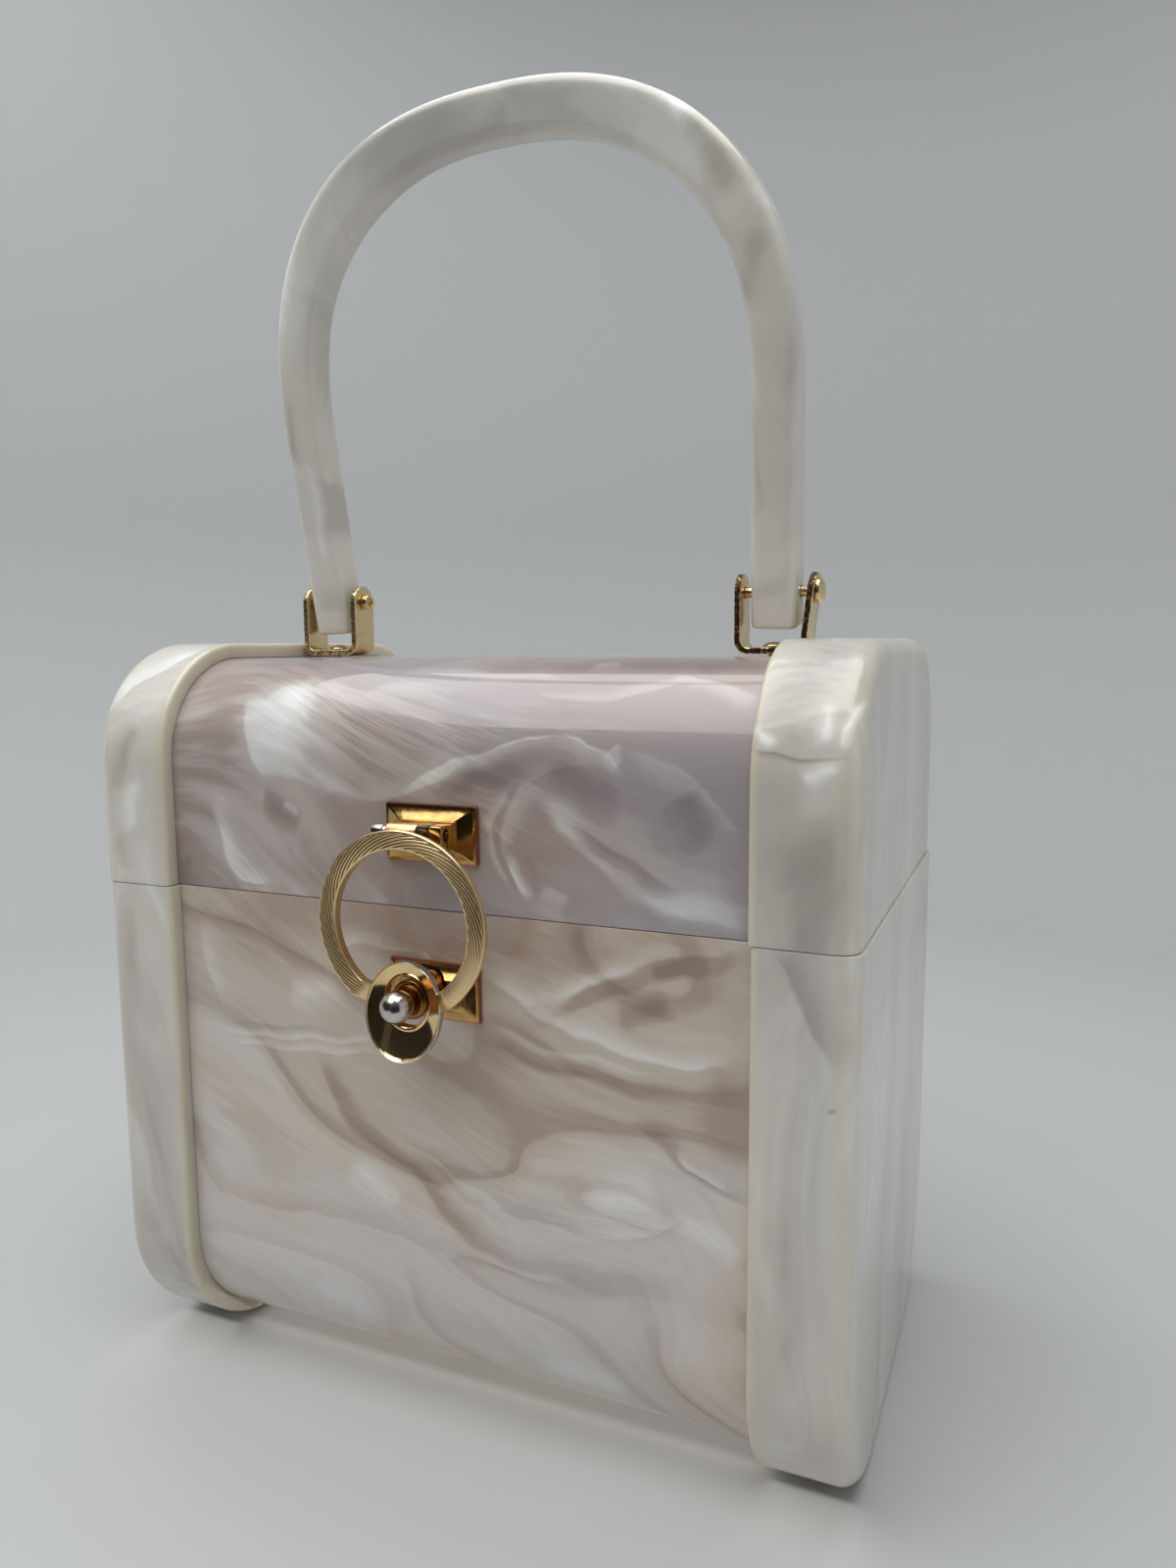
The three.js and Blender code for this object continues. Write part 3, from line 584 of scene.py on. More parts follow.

# %% [markdown]
# The lid is the darker, mauve half. One large eddy fills its right side, with a bright crest over it and dark
# hollows inside, and a white cloud hangs over the clasp on the left. The strokes were placed along the sheet
# from the front cut.

# %% Lid marbling
# Columns: start and end on the sheet, sag of the bow and half width, in millimetres; fade of the soft
# side; tone.
LID_STROKES = [
    # Painted shade: a wide dark band that dims the top bend and the flat top.
    ((-65, 54), (65, 54), 0.0, 16.0, 1, -0.1),
    ((-62, 24), (-18, 28), 0.0, 17.0, 1, 0.12),
    ((-6, 20.5), (25, 31.2), 2.2, 0.45, 6, 0.15),
    ((24, 31.3), (38, 24), 2.4, 0.45, 6, 0.16),
    ((2, 21), (31, 27), 2.0, 3.0, 1, -0.2),
    ((32, 28), (16.6, 22.4), -1.4, 0.6, 5, 0.12),
    ((17, 23), (14.8, 10), -1.3, 0.6, -5, 0.11),
    ((14.8, 11), (18.3, 3.4), -0.5, 0.5, -4, 0.22),
    ((21, 19), (37, 7.5), -0.6, 1.3, -4, 0.26),
    ((35, 8.3), (58, 3), -1.2, 1.3, -4, 0.26),
    ((27, 17), (46, 8), -0.8, 0.8, 4, -0.26),
    ((22, 25), (36, 20.5), 0.6, 2.8, 1.3, -0.3),
    ((45, 21.5), (51, 15), 0.0, 2.6, 1.2, -0.26),
    ((37.5, 28), (57, 14.5), 2.4, 0.7, 4, 0.11),
    ((15.6, 24.5), (15.4, 4.4), -3.4, 0.35, 3, 0.1),
    ((30, 23), (41, 14), 0.0, 2.0, 1.2, 0.08),
    ((34.6, 30), (37.2, 26.4), 0.0, 0.8, 2, 0.17),
    ((21, 6), (27.5, 2.5), 0.5, 0.8, 3, 0.11),
    ((-48.7, 18), (-34, 0.4), -4.4, 0.5, -6, 0.13),
    ((-34, 41), (-31, 22), 0.0, 4.2, 1.5, 0.17),
    ((-41.8, 38), (-36.3, 21), 0.0, 0.5, -7, 0.12),
    ((-37, 17.5), (-28, 14.5), 0.0, 2.4, 1, -0.14),
    ((-32, 17.5), (-28.5, 16.2), 0.4, 0.5, 2, 0.13),
    ((-31, 23.5), (-8, 18.3), -1.4, 0.6, -5, 0.1),
    ((-12, 18.3), (7, 27.5), -1.4, 0.6, -5, 0.1),
    # Painted highlights: this stroke and the next three are glints of the ceiling light along the top bend.
    ((-11, 44.3), (24, 43.3), 0.0, 1.2, 1.5, 0.14),
    ((18, 39.4), (45, 41.4), -1.7, 0.6, -3, 0.1),
    ((26, 47), (31.5, 47), 0.5, 0.7, 2, 0.11),
    ((41, 43), (58, 36.6), 0.0, 0.7, 3, 0.1),
    ((-44, 38.5), (2, 38.5), 0.0, 2.4, 1.5, 0.1),
    ((5, 48), (60, 47), 0.0, 4.0, 1, -0.1),
]
LID_FLOW = {
    "scale": 20.0,
    "stretch": (0.45, 1.0, 1.0),
    "folds": 1.3,
    "lean": (0, 0, 0.15),
    "start": (0.4, 2.2, 0),
}
LID_STOPS = [
    (0.2, "70625f"),
    (0.38, "8d7d7a"),
    (0.5, "a79892"),
    (0.6, "c0b6b0"),
    (0.72, "dcd9d6"),
    (0.86, "f3f3f1"),
]
lid_marble_and_painted_light = pearl(
    "lid marble and painted light",
    stops=LID_STOPS,
    veil=(0.42, "ad9687", "9fa1ae"),
    flow=LID_FLOW,
    folds=(3.0, 0.5),
    relief=0.8,
    strokes=LID_STROKES,
    spread=sheet_place,
    strand=0.28,
    **PEARL_SHEET,
)

# %% [markdown]
# The base is paler and warmer. Its folds run down from left to right in long beige veins with white pools
# between them, and the sheet darkens towards the cut.

# %% Base marbling
BASE_STROKES = [
    ((-50, 28.8), (-12, 25.6), 0.0, 0.5, 3, 0.14),
    ((-47, 31), (-14, 28.6), 0.3, 0.4, 4, 0.12),
    ((-51, 26.3), (-19, 24.3), 0.2, 0.5, -3, -0.1),
    ((-32, 19), (-20, 16.8), 0.0, 2.4, 1, 0.18),
    ((-22, 11.5), (-2.5, 9.2), -2.8, 0.5, 4, 0.14),
    ((-26, 32), (-5, 52), 2.6, 1.0, 3, -0.2),
    ((-8, 49.6), (24, 65.4), 3.0, 1.1, 3, -0.22),
    ((19, 64.4), (46, 64.5), 1.0, 1.0, 3, -0.18),
    ((-9, 44), (14, 54.8), 0.3, 0.5, -4, 0.18),
    ((-8, 45.6), (13, 56.2), 0.3, 0.7, 3, -0.14),
    ((10, 53.6), (33, 55), 0.6, 0.5, 4, -0.16),
    ((28, 55.4), (46, 48.8), 1.4, 0.5, 4, 0.16),
    ((8, 22.6), (45, 26.9), 1.9, 0.9, 3, -0.2),
    ((10, 20), (42, 24), 1.4, 0.8, -4, 0.16),
    ((-20, 52.5), (-10, 58.5), 0.0, 2.6, 1.3, 0.2),
    ((30, 50), (42, 45), 0.0, 3.6, 1.2, 0.2),
    ((44, 50.2), (58, 54.8), 0.0, 2.8, 1.2, 0.2),
    ((-1, 20.4), (8, 16.6), 0.0, 2.2, 1, 0.14),
    ((39, 33.2), (60, 44), 0.9, 0.8, 3, -0.22),
    ((45, 36.4), (55, 41.9), 0.3, 0.4, 3, 0.26),
    ((10, 10.8), (31, 21), 0.0, 0.5, 5, 0.16),
    ((27, 19.6), (55, 20.6), 1.4, 0.5, 4, 0.18),
    ((17, 15.6), (58, 1.8), -1.6, 0.5, 4, 0.14),
    ((19, 17.8), (58, 4.8), -1.4, 0.8, 3, -0.14),
    ((-8, 68), (9, 91), 3.5, 0.9, 3, -0.18),
    ((-31, 79.6), (-16, 82.8), 0.0, 2.8, 1.2, 0.18),
    ((19, 82), (37, 85.4), 0.0, 2.8, 1.2, 0.18),
    ((-57, 52), (-50, 64), 1.7, 0.9, 3, -0.18),
    ((-53, 63.2), (6, 63), 0.6, 0.5, 5, -0.16),
    ((-53.5, 7), (-47, 23.5), 2.0, 0.5, 5, 0.12),
    ((-62, 2), (64, 5), 0.0, 10.0, 1, -0.22),
    ((40, 9), (50, 4.2), 1.2, 1.2, 2, -0.2),
    ((35, 17), (45, 13.4), -1.0, 1.5, 1.5, -0.2),
    ((53, 20), (56, 40), 0.0, 5.0, 1, -0.12),
    ((22, 15.6), (37, 8.2), -1.6, 0.5, 4, 0.14),
]
BASE_FLOW = {
    "scale": 24.0,
    "stretch": (0.42, 1.0, 1.0),
    "folds": 1.55,
    "lean": (0, 0, -0.42),
    "start": (3.1, 0.7, 0),
}
BASE_STOPS = [
    (0.2, "958277"),
    (0.36, "af9b8d"),
    (0.5, "c6b9ab"),
    (0.6, "d3cabf"),
    (0.72, "e0dbd4"),
    (0.86, "f1efeb"),
]
base_marble = pearl(
    "base marble",
    stops=BASE_STOPS,
    veil=(0.42, "cbb39a", "d4d6dc"),
    flow=BASE_FLOW,
    folds=(4.5, 0.75),
    relief=0.7,
    strokes=BASE_STROKES,
    spread=sheet_place,
    strand=0.22,
    **PEARL_SHEET,
)
print("marbling:", len(LID_STROKES), "strokes on the lid,", len(BASE_STROKES), "on the base")

# %% [markdown]
# ## Ivory pearl
# The caps and the handle are the same kind of sheet in ivory. Its clouds are wide and faint, drawn out
# along the height on the ends, and a few strokes are laid where it flashes or greys. Looked at
# through its thickness, at the lips of the caps, it is creamier, and the mark says where. Light goes a
# little way into it, so it gets some subsurface scattering.

# %% Ivory finish
IVORY_SHEET = {
    "Metallic": 0.06,
    "Roughness": 0.34,
    "Coat_Weight": 0.7,
    "Coat_Roughness": 0.06,
    "Coat_IOR": 1.49,
    "Specular_IOR_Level": 0.2,
    "Subsurface_Weight": 0.35,
    "Subsurface_Radius": (0.004, 0.0035, 0.003),
    "Subsurface_Scale": 1.0,
}
IVORY_STOPS = [(0.15, "938d87"), (0.35, "b0aaa3"), (0.5, "c7c1b9"), (0.65, "d6d1c9"), (0.85, "f4f3f0")]
IVORY_VEIL = (0.2, "d8d0c0", "c9cccd")
IVORY_FOLDS = (3.0, 0.3)
IVORY_RELIEF = 0.5
CAP_FLOW = {
    "scale": 22.0,
    "stretch": (1.3, 1.5, 0.35),
    "folds": 1.0,
    "lean": (0, 0.1, 0),
    "start": (0, 0, 0),
}
HANDLE_FLOW = {
    "scale": 22.0,
    "stretch": (0.8, 1.2, 0.6),
    "folds": 1.2,
    "lean": (0, 0.2, 0),
    "start": (5, 2, 1),
}
# Columns as for the marbling, with x and z in millimetres.
LID_CAP_STROKES = [
    # Painted highlights: this stroke and the next four are glints on the top bend of the right lid cap, the
    # last two fading down its front.
    ((73.2, 140.5), (71.6, 132.6), 0.0, 0.8, 1.5, 0.42),
    ((66.8, 141), (69, 133.4), 0.5, 1.1, 1.2, 0.26),
    ((57.8, 135.2), (62.6, 132.4), 0.0, 1.0, 1.5, 0.3),
    ((71.8, 130.2), (66.6, 127.4), 0.4, 1.5, 1.3, 0.26),
    ((69.4, 128.4), (68.8, 120.5), 0.0, 2.2, 1, 0.14),
    # Painted reflection: a dark line along the start of the bend, where a reflection in it ends.
    ((58.4, 131.4), (72, 131.5), -0.3, 0.35, 2, -0.2),
    ((68.2, 120), (68, 92), 0.0, 3.8, 1, -0.2),
    ((-66, 134), (-71, 121), 0.0, 1.6, 1, -0.26),
    ((-66.3, 122), (-66.5, 112), 0.0, 1.6, 1.3, 0.16),
    ((-69, 112), (-68, 104), 0.0, 1.4, 1, -0.14),
    ((-74, 133), (-60, 147.5), 0.8, 0.5, -8, 0.28),
]
BASE_CAP_STROKES = [
    ((61.8, 100.5), (71.6, 82), 1.5, 0.5, -9, -0.22),
    ((70.2, 77.4), (71.4, 77.8), 0.0, 0.35, 1, -0.3),
    ((66, 62), (64, 28), 0.0, 2.5, 1, -0.12),
    ((60, 70), (61, 40), 0.0, 1.5, 1, 0.08),
    ((-70, 98), (-68, 78), 0.0, 1.8, 1, -0.16),
    ((-71, 55), (-66, 30), 0.5, 1.2, 3, 0.14),
]
HANDLE_STROKES = [
    ((35.5, 236), (42.5, 245), 0.0, 2.4, 1, 0.3),
    ((28, 246), (36, 243), 0.0, 3.0, 1, -0.2),
    ((40, 236), (45, 226), 0.0, 3.0, 1, -0.2),
    ((48, 226), (51, 221), 0.0, 1.5, 1, 0.16),
    ((48.5, 218), (48.5, 206), 0.0, 3.6, 1, -0.2),
    ((-53.5, 200), (-52, 186), 0.0, 1.6, 1, -0.2),
    ((-47.5, 184), (-46, 171), 0.6, 0.9, 2, -0.24),
    ((-50, 186), (-49, 166), 0.0, 1.2, 1, 0.16),
    ((-45, 238), (-54, 206), -1.0, 4.0, 1, 0.24),
    ((47, 190), (48.5, 170), 0.0, 0.8, 2, -0.16),
    ((50, 206), (50, 166), 0.0, 4.0, 1, -0.16),
    ((56, 216), (55, 158), 0.0, 3.2, 1, -0.2),
    ((42, 157.6), (54, 157.6), 0.0, 1.6, 1, -0.16),
    ((-54, 157.6), (-42, 157.6), 0.0, 1.6, 1, -0.12),
]
HANDLE_STOPS = [(0.15, "979690"), (0.35, "b6b4ac"), (0.5, "cdcbc3"), (0.65, "dbd9d2"), (0.85, "f4f5f1")]


def ivory(name, stops, flow, strokes, strand):
    """Pearl with the folds, relief and sheet that all ivory pieces share."""
    return pearl(
        name,
        stops=stops,
        veil=IVORY_VEIL,
        flow=flow,
        folds=IVORY_FOLDS,
        relief=IVORY_RELIEF,
        strokes=strokes,
        spread=front_place,
        strand=strand,
        **IVORY_SHEET,
    )


lid_cap_ivory_and_painted_light = ivory("lid cap ivory and painted light", IVORY_STOPS, CAP_FLOW, LID_CAP_STROKES, 0.28)
base_cap_ivory = ivory("base cap ivory", IVORY_STOPS, CAP_FLOW, BASE_CAP_STROKES, 0.36)
handle_ivory = ivory("handle ivory", HANDLE_STOPS, HANDLE_FLOW, HANDLE_STROKES, 0.25)
print("pearl finishes:", len(bpy.data.materials))

# %% [markdown]
# ## Metals
# The mounts are plated brass. Plating wears thin on edges, tarnishes in patches and takes fine scratches,
# so colour and roughness both vary. Where a piece's mark is 1, a second colour and roughness take over:
# the dark bottom of an engraved line, a sheared edge, or a rosy rim where the copper shows.

# %% Metal finish
PATCH_NOISE = {"scale": 220.0, "detail": 4.0, "roughness": 0.6}
PATCH_EDGES = (0.42, 0.72)
MOST_TARNISH = 0.75
PATCH_RELIEF = 0.4
SCRATCH_NOISE = {"scale": 2600.0, "detail": 2.0}
SCRATCH_STRETCH = (1, 1, 0.15)
SCRATCH_ROUGHNESS = 0.16
SPECKLE_NOISE = {"scale": 1900.0, "detail": 3.0}
MARK_EDGES = (0.3, 0.75)
METAL_RELIEF = 0.06


def metal(name, colour, tarnish, mark_colour, mark_rough, rough, grain=0.0):
    """Colour with patches of tarnish. Where the mark, broken up by grain times a speckle, is high, the mark's
    colour and roughness take over. Scratches vary the roughness, patches and speckles the height."""
    finish = Finish(name, Metallic=1.0)
    place = finish.place()
    patches = finish.noise(place, **PATCH_NOISE).outputs["Fac"]
    scratches = finish.noise(finish.stretch(place, SCRATCH_STRETCH), **SCRATCH_NOISE).outputs["Fac"]
    speckle = finish.noise(place, **SPECKLE_NOISE).outputs["Fac"]
    shade = finish.mix(finish.span(patches, *PATCH_EDGES, 0.0, MOST_TARNISH), tint(colour), tint(tarnish))
    speckled = finish.sum("MULTIPLY_ADD", finish.sum("SUBTRACT", speckle, 0.5), grain, finish.mark())
    broken = finish.span(speckled, *MARK_EDGES)
    base = finish.mix(broken, shade, tint(mark_colour))
    even = finish.sum("MULTIPLY_ADD", scratches, SCRATCH_ROUGHNESS, rough - SCRATCH_ROUGHNESS / 2)
    blend = finish.sum("MULTIPLY_ADD", finish.span(broken, 0.0, 1.0), mark_rough - rough, even)
    relief = finish.sum("MULTIPLY_ADD", broken, speckle, finish.sum("MULTIPLY", patches, PATCH_RELIEF))
    return finish.wear(Base_Color=base, Roughness=blend, Normal=finish.bump(relief, METAL_RELIEF * MM))


bracket_gold = metal("bracket gold", "ead5a6", "d6bb84", "4a3827", 0.5, rough=0.24, grain=1.8)
plate_gold = metal("plate gold", "c39c62", "8c6538", "a86454", 0.3, rough=0.13)
ring_gold = metal("ring gold", "f0d3a0", "dfbb86", "452c16", 0.45, rough=0.33)
disc_gold = metal("disc gold", "ecd09a", "dab67c", "d8d5ce", 0.2, rough=0.1)
post_brass = metal("post brass", "9c6a3a", "6d4526", "3a2417", 0.35, rough=0.24)
ball_silver = metal("ball silver", "d0cac4", "9c938a", "6e665f", 0.4, rough=0.2)
knuckle_steel = metal("knuckle steel", "6b635b", "4a423b", "2a2522", 0.4, rough=0.24)
hinge_gold = metal("hinge gold", "dcc394", "c3a671", "5f4a2c", 0.4, rough=0.28)
print("metal finishes made")

# %% [markdown]
# ## The box from the side
# Both halves of the box follow one outline, a U with rounded corners, seen from the end. Everything on it
# is set by an inset from that outline, so a point and its outward normal are enough to place a wall.

# %% Side outline
BOX_WIDTH = 150.0
BOX_DEPTH = 96.0
BOX_HEIGHT = 148.5
TOP_BEND = 23.0
BOTTOM_BEND = 28.0
SPLIT_HEIGHT = 101.2
SPLIT_GAP = 0.14
SHEET = 3.2
CAP_PROUD = 3.1
CAP_PLATE = 3.2
CAP_RIM = 17.0
CAP_EDGE = 3.6
SEAT = 0.3
BASE_TOP = SPLIT_HEIGHT - SPLIT_GAP / 2
LID_BOTTOM = SPLIT_HEIGHT + SPLIT_GAP / 2


def side_outline(lid, wall_steps=20, bend_steps=36, flat_steps=12):
    """Points [y, z] and outward normals from the front cut round to the back cut, which mirrors it."""
    bend, far, up, cut = (TOP_BEND, BOX_HEIGHT, 1, LID_BOTTOM) if lid else (BOTTOM_BEND, 0, -1, BASE_TOP)
    half = BOX_DEPTH / 2
    corner = np.array([-half + bend, far - up * bend])
    wall_z = np.linspace(cut, corner[1], wall_steps)
    wall = np.stack([np.full(wall_steps, -half), wall_z], axis=1)
    angles = np.linspace(0, QUARTER, bend_steps + 1)
    bend_normals = np.stack([-np.cos(angles), up * np.sin(angles)], axis=1)
    flat_y = np.linspace(corner[0], 0, flat_steps)[1:]
    flat = np.stack([flat_y, np.full(flat_steps - 1, far)], axis=1)
    front = np.vstack([wall[:-1], corner + bend * bend_normals, flat])
    wall_normals = np.tile([-1.0, 0.0], (wall_steps - 1, 1))
    flat_normals = np.tile([0.0, up], (flat_steps - 1, 1))
    normals = np.vstack([wall_normals, bend_normals, flat_normals])
    back = front[-2::-1] * (-1, 1)
    return np.vstack([front, back]), np.vstack([normals, normals[-2::-1] * (-1, 1)]), cut


def shell_grid(outline, normals, x, inset, share, middle):
    """Grid of walls: outline moved in by each row's inset, then drawn towards a middle by its share."""
    ring = outline[None] - inset[:, None, None] * normals[None]
    ring = middle + share[:, None, None] * (ring - middle)
    along = np.broadcast_to(x[:, None, None], (len(x), len(outline), 1))
    return np.concatenate([along, ring], axis=2)


# %% [markdown]
# ## The marbled wraps
# Each half of the wrap is one sheet, heated and bent round the front, the bottom or top, and the back. Its
# section, a long thin rectangle with eased corners, runs along the outline. The two saw cuts are filled flat
# and their edges softened a little, as scraping leaves them.

# %% Wraps
WRAP_WIDTH = BOX_WIDTH - 2 * (CAP_PLATE + SEAT)
WRAP_EDGE = 0.3
CUT_SOFTNESS = 0.12
SHEET_CRISP = 60


def wrap_skin(lid, x):
    """Sheet section carried along the outline; the mark is the way along the sheet's middle in metres."""
    outline, normals, cut = side_outline(lid)
    section, _ = rounded_rectangle(WRAP_WIDTH, SHEET, WRAP_EDGE, 3, (24, 2))
    inset = CAP_PROUD + SHEET / 2 - section[:, 1]
    grid = shell_grid(outline, normals, section[:, 0] + x, inset, np.ones(len(section)), np.array([0, cut]))
    middle_line = outline - (CAP_PROUD + SHEET / 2) * normals
    steps = np.linalg.norm(np.diff(middle_line, axis=0), axis=1)
    along = np.concatenate([[0], np.cumsum(steps)]) * MM
    rows, columns, _ = grid.shape
    front_cut = np.arange(rows) * columns
    return skin(grid, close_rows=True, lids=(front_cut, front_cut + columns - 1), mark=along)


for lid, body, x, finish in ((False, "base", BASE_X, base_marble), (True, "lid", LID_X, lid_marble_and_painted_light)):
    name = body + "_wrap"
    skins = [wrap_skin(lid, x)]
    wrap = make_piece(name + "_sheet", skins, body, finish, [name], SHEET_CRISP)
    soften_edges(wrap, CUT_SOFTNESS)

# %% [markdown]
# ## The ivory end caps
# A cap is a tray: a flat end plate with a rim that overlaps the wrap and stands proud of it. Going over it
# row by row, the surface starts in the middle of the inner face, turns along the inside of the rim, goes
# round the rim's mouth, back along the outside, over the big soft edge and across the end.

# %% Caps
RIM_INNER_EDGE = 0.15
LIP_GAP = 0.05
RIM_OUTER_EDGE = 0.9
INSIDE_FILLET = 1.0
PLATE_SHARES = (0.25, 0.6, 0.9)
LIP_WARMTH = 0.6
LIP_FADE = 0.8
EDGE_WARMTH = 0.2


def quarter_arc(centre, radius, start, steps):
    """Quarter circle in the plane of x and inset, from an angle onward, anticlockwise."""
    angles = start + np.linspace(0, QUARTER, steps + 1)
    return np.array(centre) + radius * np.stack([np.cos(angles), np.sin(angles)], axis=1)


def cap_rows():
    """Rows of [x, inset, share, cream] for a cap on the +X side."""
    end = BOX_WIDTH / 2
    mouth = end - CAP_RIM
    inside = CAP_PROUD - LIP_GAP
    plate = end - CAP_PLATE
    fillet_centre = (plate - INSIDE_FILLET, inside + INSIDE_FILLET)
    fillet = quarter_arc(fillet_centre, INSIDE_FILLET, -QUARTER, 4)[::-1]
    inner_mouth = quarter_arc((mouth + RIM_INNER_EDGE, inside - RIM_INNER_EDGE), RIM_INNER_EDGE, QUARTER, 4)
    outer_mouth = quarter_arc((mouth + RIM_OUTER_EDGE, RIM_OUTER_EDGE), RIM_OUTER_EDGE, math.pi, 5)
    edge = quarter_arc((end - CAP_EDGE, CAP_EDGE), CAP_EDGE, -QUARTER, 12)
    face = np.array([(mouth + RIM_OUTER_EDGE + LIP_FADE, 0), (end - CAP_EDGE - LIP_FADE, 0)])
    parts = (fillet, inner_mouth, outer_mouth, face, edge)
    warmth = (0, LIP_WARMTH, LIP_WARMTH, 0, EDGE_WARMTH)
    cream = np.repeat(warmth, [len(part) for part in parts])
    rows = np.column_stack([np.vstack(parts), np.ones(len(cream)), cream])
    inner = [(plate, inside + INSIDE_FILLET, share, 0) for share in PLATE_SHARES]
    outer = [(end, CAP_EDGE, share, 0) for share in reversed(PLATE_SHARES)]
    return np.vstack([inner, rows, outer])


def cap_skin(lid, side, x):
    """The cap's rows carried along the outline, with the end faces and the saw cut filled."""
    outline, normals, cut = side_outline(lid)
    rows = cap_rows()
    grid = shell_grid(outline, normals, side * rows[:, 0] + x, rows[:, 1], rows[:, 2], np.array([0, cut]))
    count, columns, _ = grid.shape
    front = np.arange(count) * columns
    saw_cut = np.concatenate([front, (front + columns - 1)[::-1]])
    return skin(grid, lids=(*first_and_last_row(grid), saw_cut), mark=rows[:, 3:])


for lid, body, x, finish in ((False, "base", BASE_X, base_cap_ivory), (True, "lid", LID_X, lid_cap_ivory_and_painted_light)):
    for side, word in ((-1, "left"), (1, "right")):
        name = f"{body}_cap_{word}"
        skins = [cap_skin(lid, side, x)]
        cap = make_piece(name + "_tray", skins, body, finish, [name], SHEET_CRISP)
        soften_edges(cap, CUT_SOFTNESS)

# %% [markdown]
# ## The handle
# The handle is a bar with soft edges, heated and bent to an arch. Its middle line is two straight legs and
# half a superellipse, which is squarer than a circle. A rounded rectangle is carried along that line. It
# grows on the inside of the bends, where bending squeezed the bar. The whole arch leans forward on its
# pins, and both legs are drilled for them.

# %% Handle
HANDLE_HALF_SPAN = 50.4
HANDLE_SIDE_STEP = 0.2
HANDLE_SPREAD = 1.1
HANDLE_LEG = 38.5
HANDLE_RISE = 51.0
HANDLE_POWER = 2.45
HANDLE_BAR = 9.0
HANDLE_CROWN_SWELL = 0.6
HANDLE_BEND_SWELL = 14.5
HANDLE_THICKNESS = 8.4
HANDLE_EDGE = 2.2
HANDLE_TAIL = 6.6
HANDLE_END = 0.9
HANDLE_LEAN = math.radians(9.5)
WRAP_TOP = BOX_HEIGHT - CAP_PROUD
PIN_HEIGHT = 11.7
PIN_RADIUS = 1.0
RUNNING = 0.3
PIVOT_HEIGHT = WRAP_TOP + SEAT + PIN_HEIGHT


def handle_line(samples=4000):
    """Dense points [x, z] from the foot of the right leg over the arch to the foot of the left leg."""
    leg_z = np.linspace(-HANDLE_TAIL, HANDLE_LEG, samples // 4)
    leg = np.stack([HANDLE_HALF_SPAN + HANDLE_SPREAD * leg_z / HANDLE_LEG, leg_z], axis=1)
    angles = np.linspace(0, math.pi, samples)
    power = 2 / HANDLE_POWER
    across = np.sign(np.cos(angles)) * np.abs(np.cos(angles)) ** power
    rise = np.abs(np.sin(angles)) ** power
    arch = np.stack([(HANDLE_HALF_SPAN + HANDLE_SPREAD) * across, HANDLE_LEG + HANDLE_RISE * rise], axis=1)
    return np.vstack([leg[:-1], arch, leg[-2::-1] * (-1, 1)])


def handle_skin(stations=260, end_steps=6, nudge=0.5):
    """Section carried along the line. Its inner side grows by share^4 * (crown + bend * (1 - share)), with
    the share of the arch's rise. The tangent is taken between points a nudge ahead and behind."""
    line = handle_line()
    length = np.concatenate([[0], np.cumsum(np.linalg.norm(np.diff(line, axis=0), axis=1))])
    angles = np.linspace(0, QUARTER, end_steps + 1)
    slide = HANDLE_END * (1 - np.cos(angles))
    shrink = HANDLE_END * (1 - np.sin(angles))
    body = np.linspace(HANDLE_END, length[-1] - HANDLE_END, stations)[1:-1]
    along = np.concatenate([slide, body, length[-1] - slide[::-1]])
    inset = np.concatenate([shrink, np.zeros(len(body)), shrink[::-1]])
    middle = np.stack([np.interp(along, length, line[:, i]) for i in (0, 1)], axis=1)
    ahead = np.stack([np.interp(along + nudge, length, line[:, i]) for i in (0, 1)], axis=1)
    behind = np.stack([np.interp(along - nudge, length, line[:, i]) for i in (0, 1)], axis=1)
    tangent = (ahead - behind) / np.linalg.norm(ahead - behind, axis=1)[:, None]
    section, normals = rounded_rectangle(HANDLE_BAR, HANDLE_THICKNESS, HANDLE_EDGE, 6, (6, 6))
    ring = section[None] - inset[:, None, None] * normals[None]
    share = np.maximum(middle[:, 1] - HANDLE_LEG, 0) / HANDLE_RISE
    swell = share ** 4 * (HANDLE_CROWN_SWELL + HANDLE_BEND_SWELL * (1 - share))
    outward = ring[:, :, 0] - np.where(section[:, 0] < 0, swell[:, None], 0)
    x = middle[:, :1] + outward * tangent[:, 1:]
    z = middle[:, 1:] - outward * tangent[:, :1]
    y = ring[:, :, 1]
    sine, cosine = math.sin(HANDLE_LEAN), math.cos(HANDLE_LEAN)
    grid = np.stack([x, y * cosine - z * sine, y * sine + z * cosine], axis=-1)
    grid = grid + (LID_X + HANDLE_SIDE_STEP, 0, PIVOT_HEIGHT)
    return skin(grid, close_columns=True, lids=first_and_last_row(grid))


def bar_through(x_from, x_to, radius, y, z, sides=32):
    """Plain round bar along X, used as a drill."""
    return moved(turned(rod_rows(radius, x_from, x_to), "x", sides), (0, y, z))


skins = [handle_skin()]
handle = make_piece("handle_arch", skins, "handle", handle_ivory, ["handle"], SHEET_CRISP)
near = HANDLE_HALF_SPAN - HANDLE_BAR
far = HANDLE_HALF_SPAN + HANDLE_BAR
legs = ((near, far), (-far, -near))
drill(handle, [bar_through(*leg, PIN_RADIUS + RUNNING, 0, PIVOT_HEIGHT) for leg in legs])

# %% [markdown]
# ## The brackets
# A bracket is a brass strip bent to a U, with round ears. Its surface is a flat section carried along the
# strip. The section's width follows a half circle at each ear, so the strip closes by itself at the tips.
# The sheared sides are marked, because they stayed dark and rough under the plating, the right ones more
# so. On the right bracket the outer ear has been bent outward.

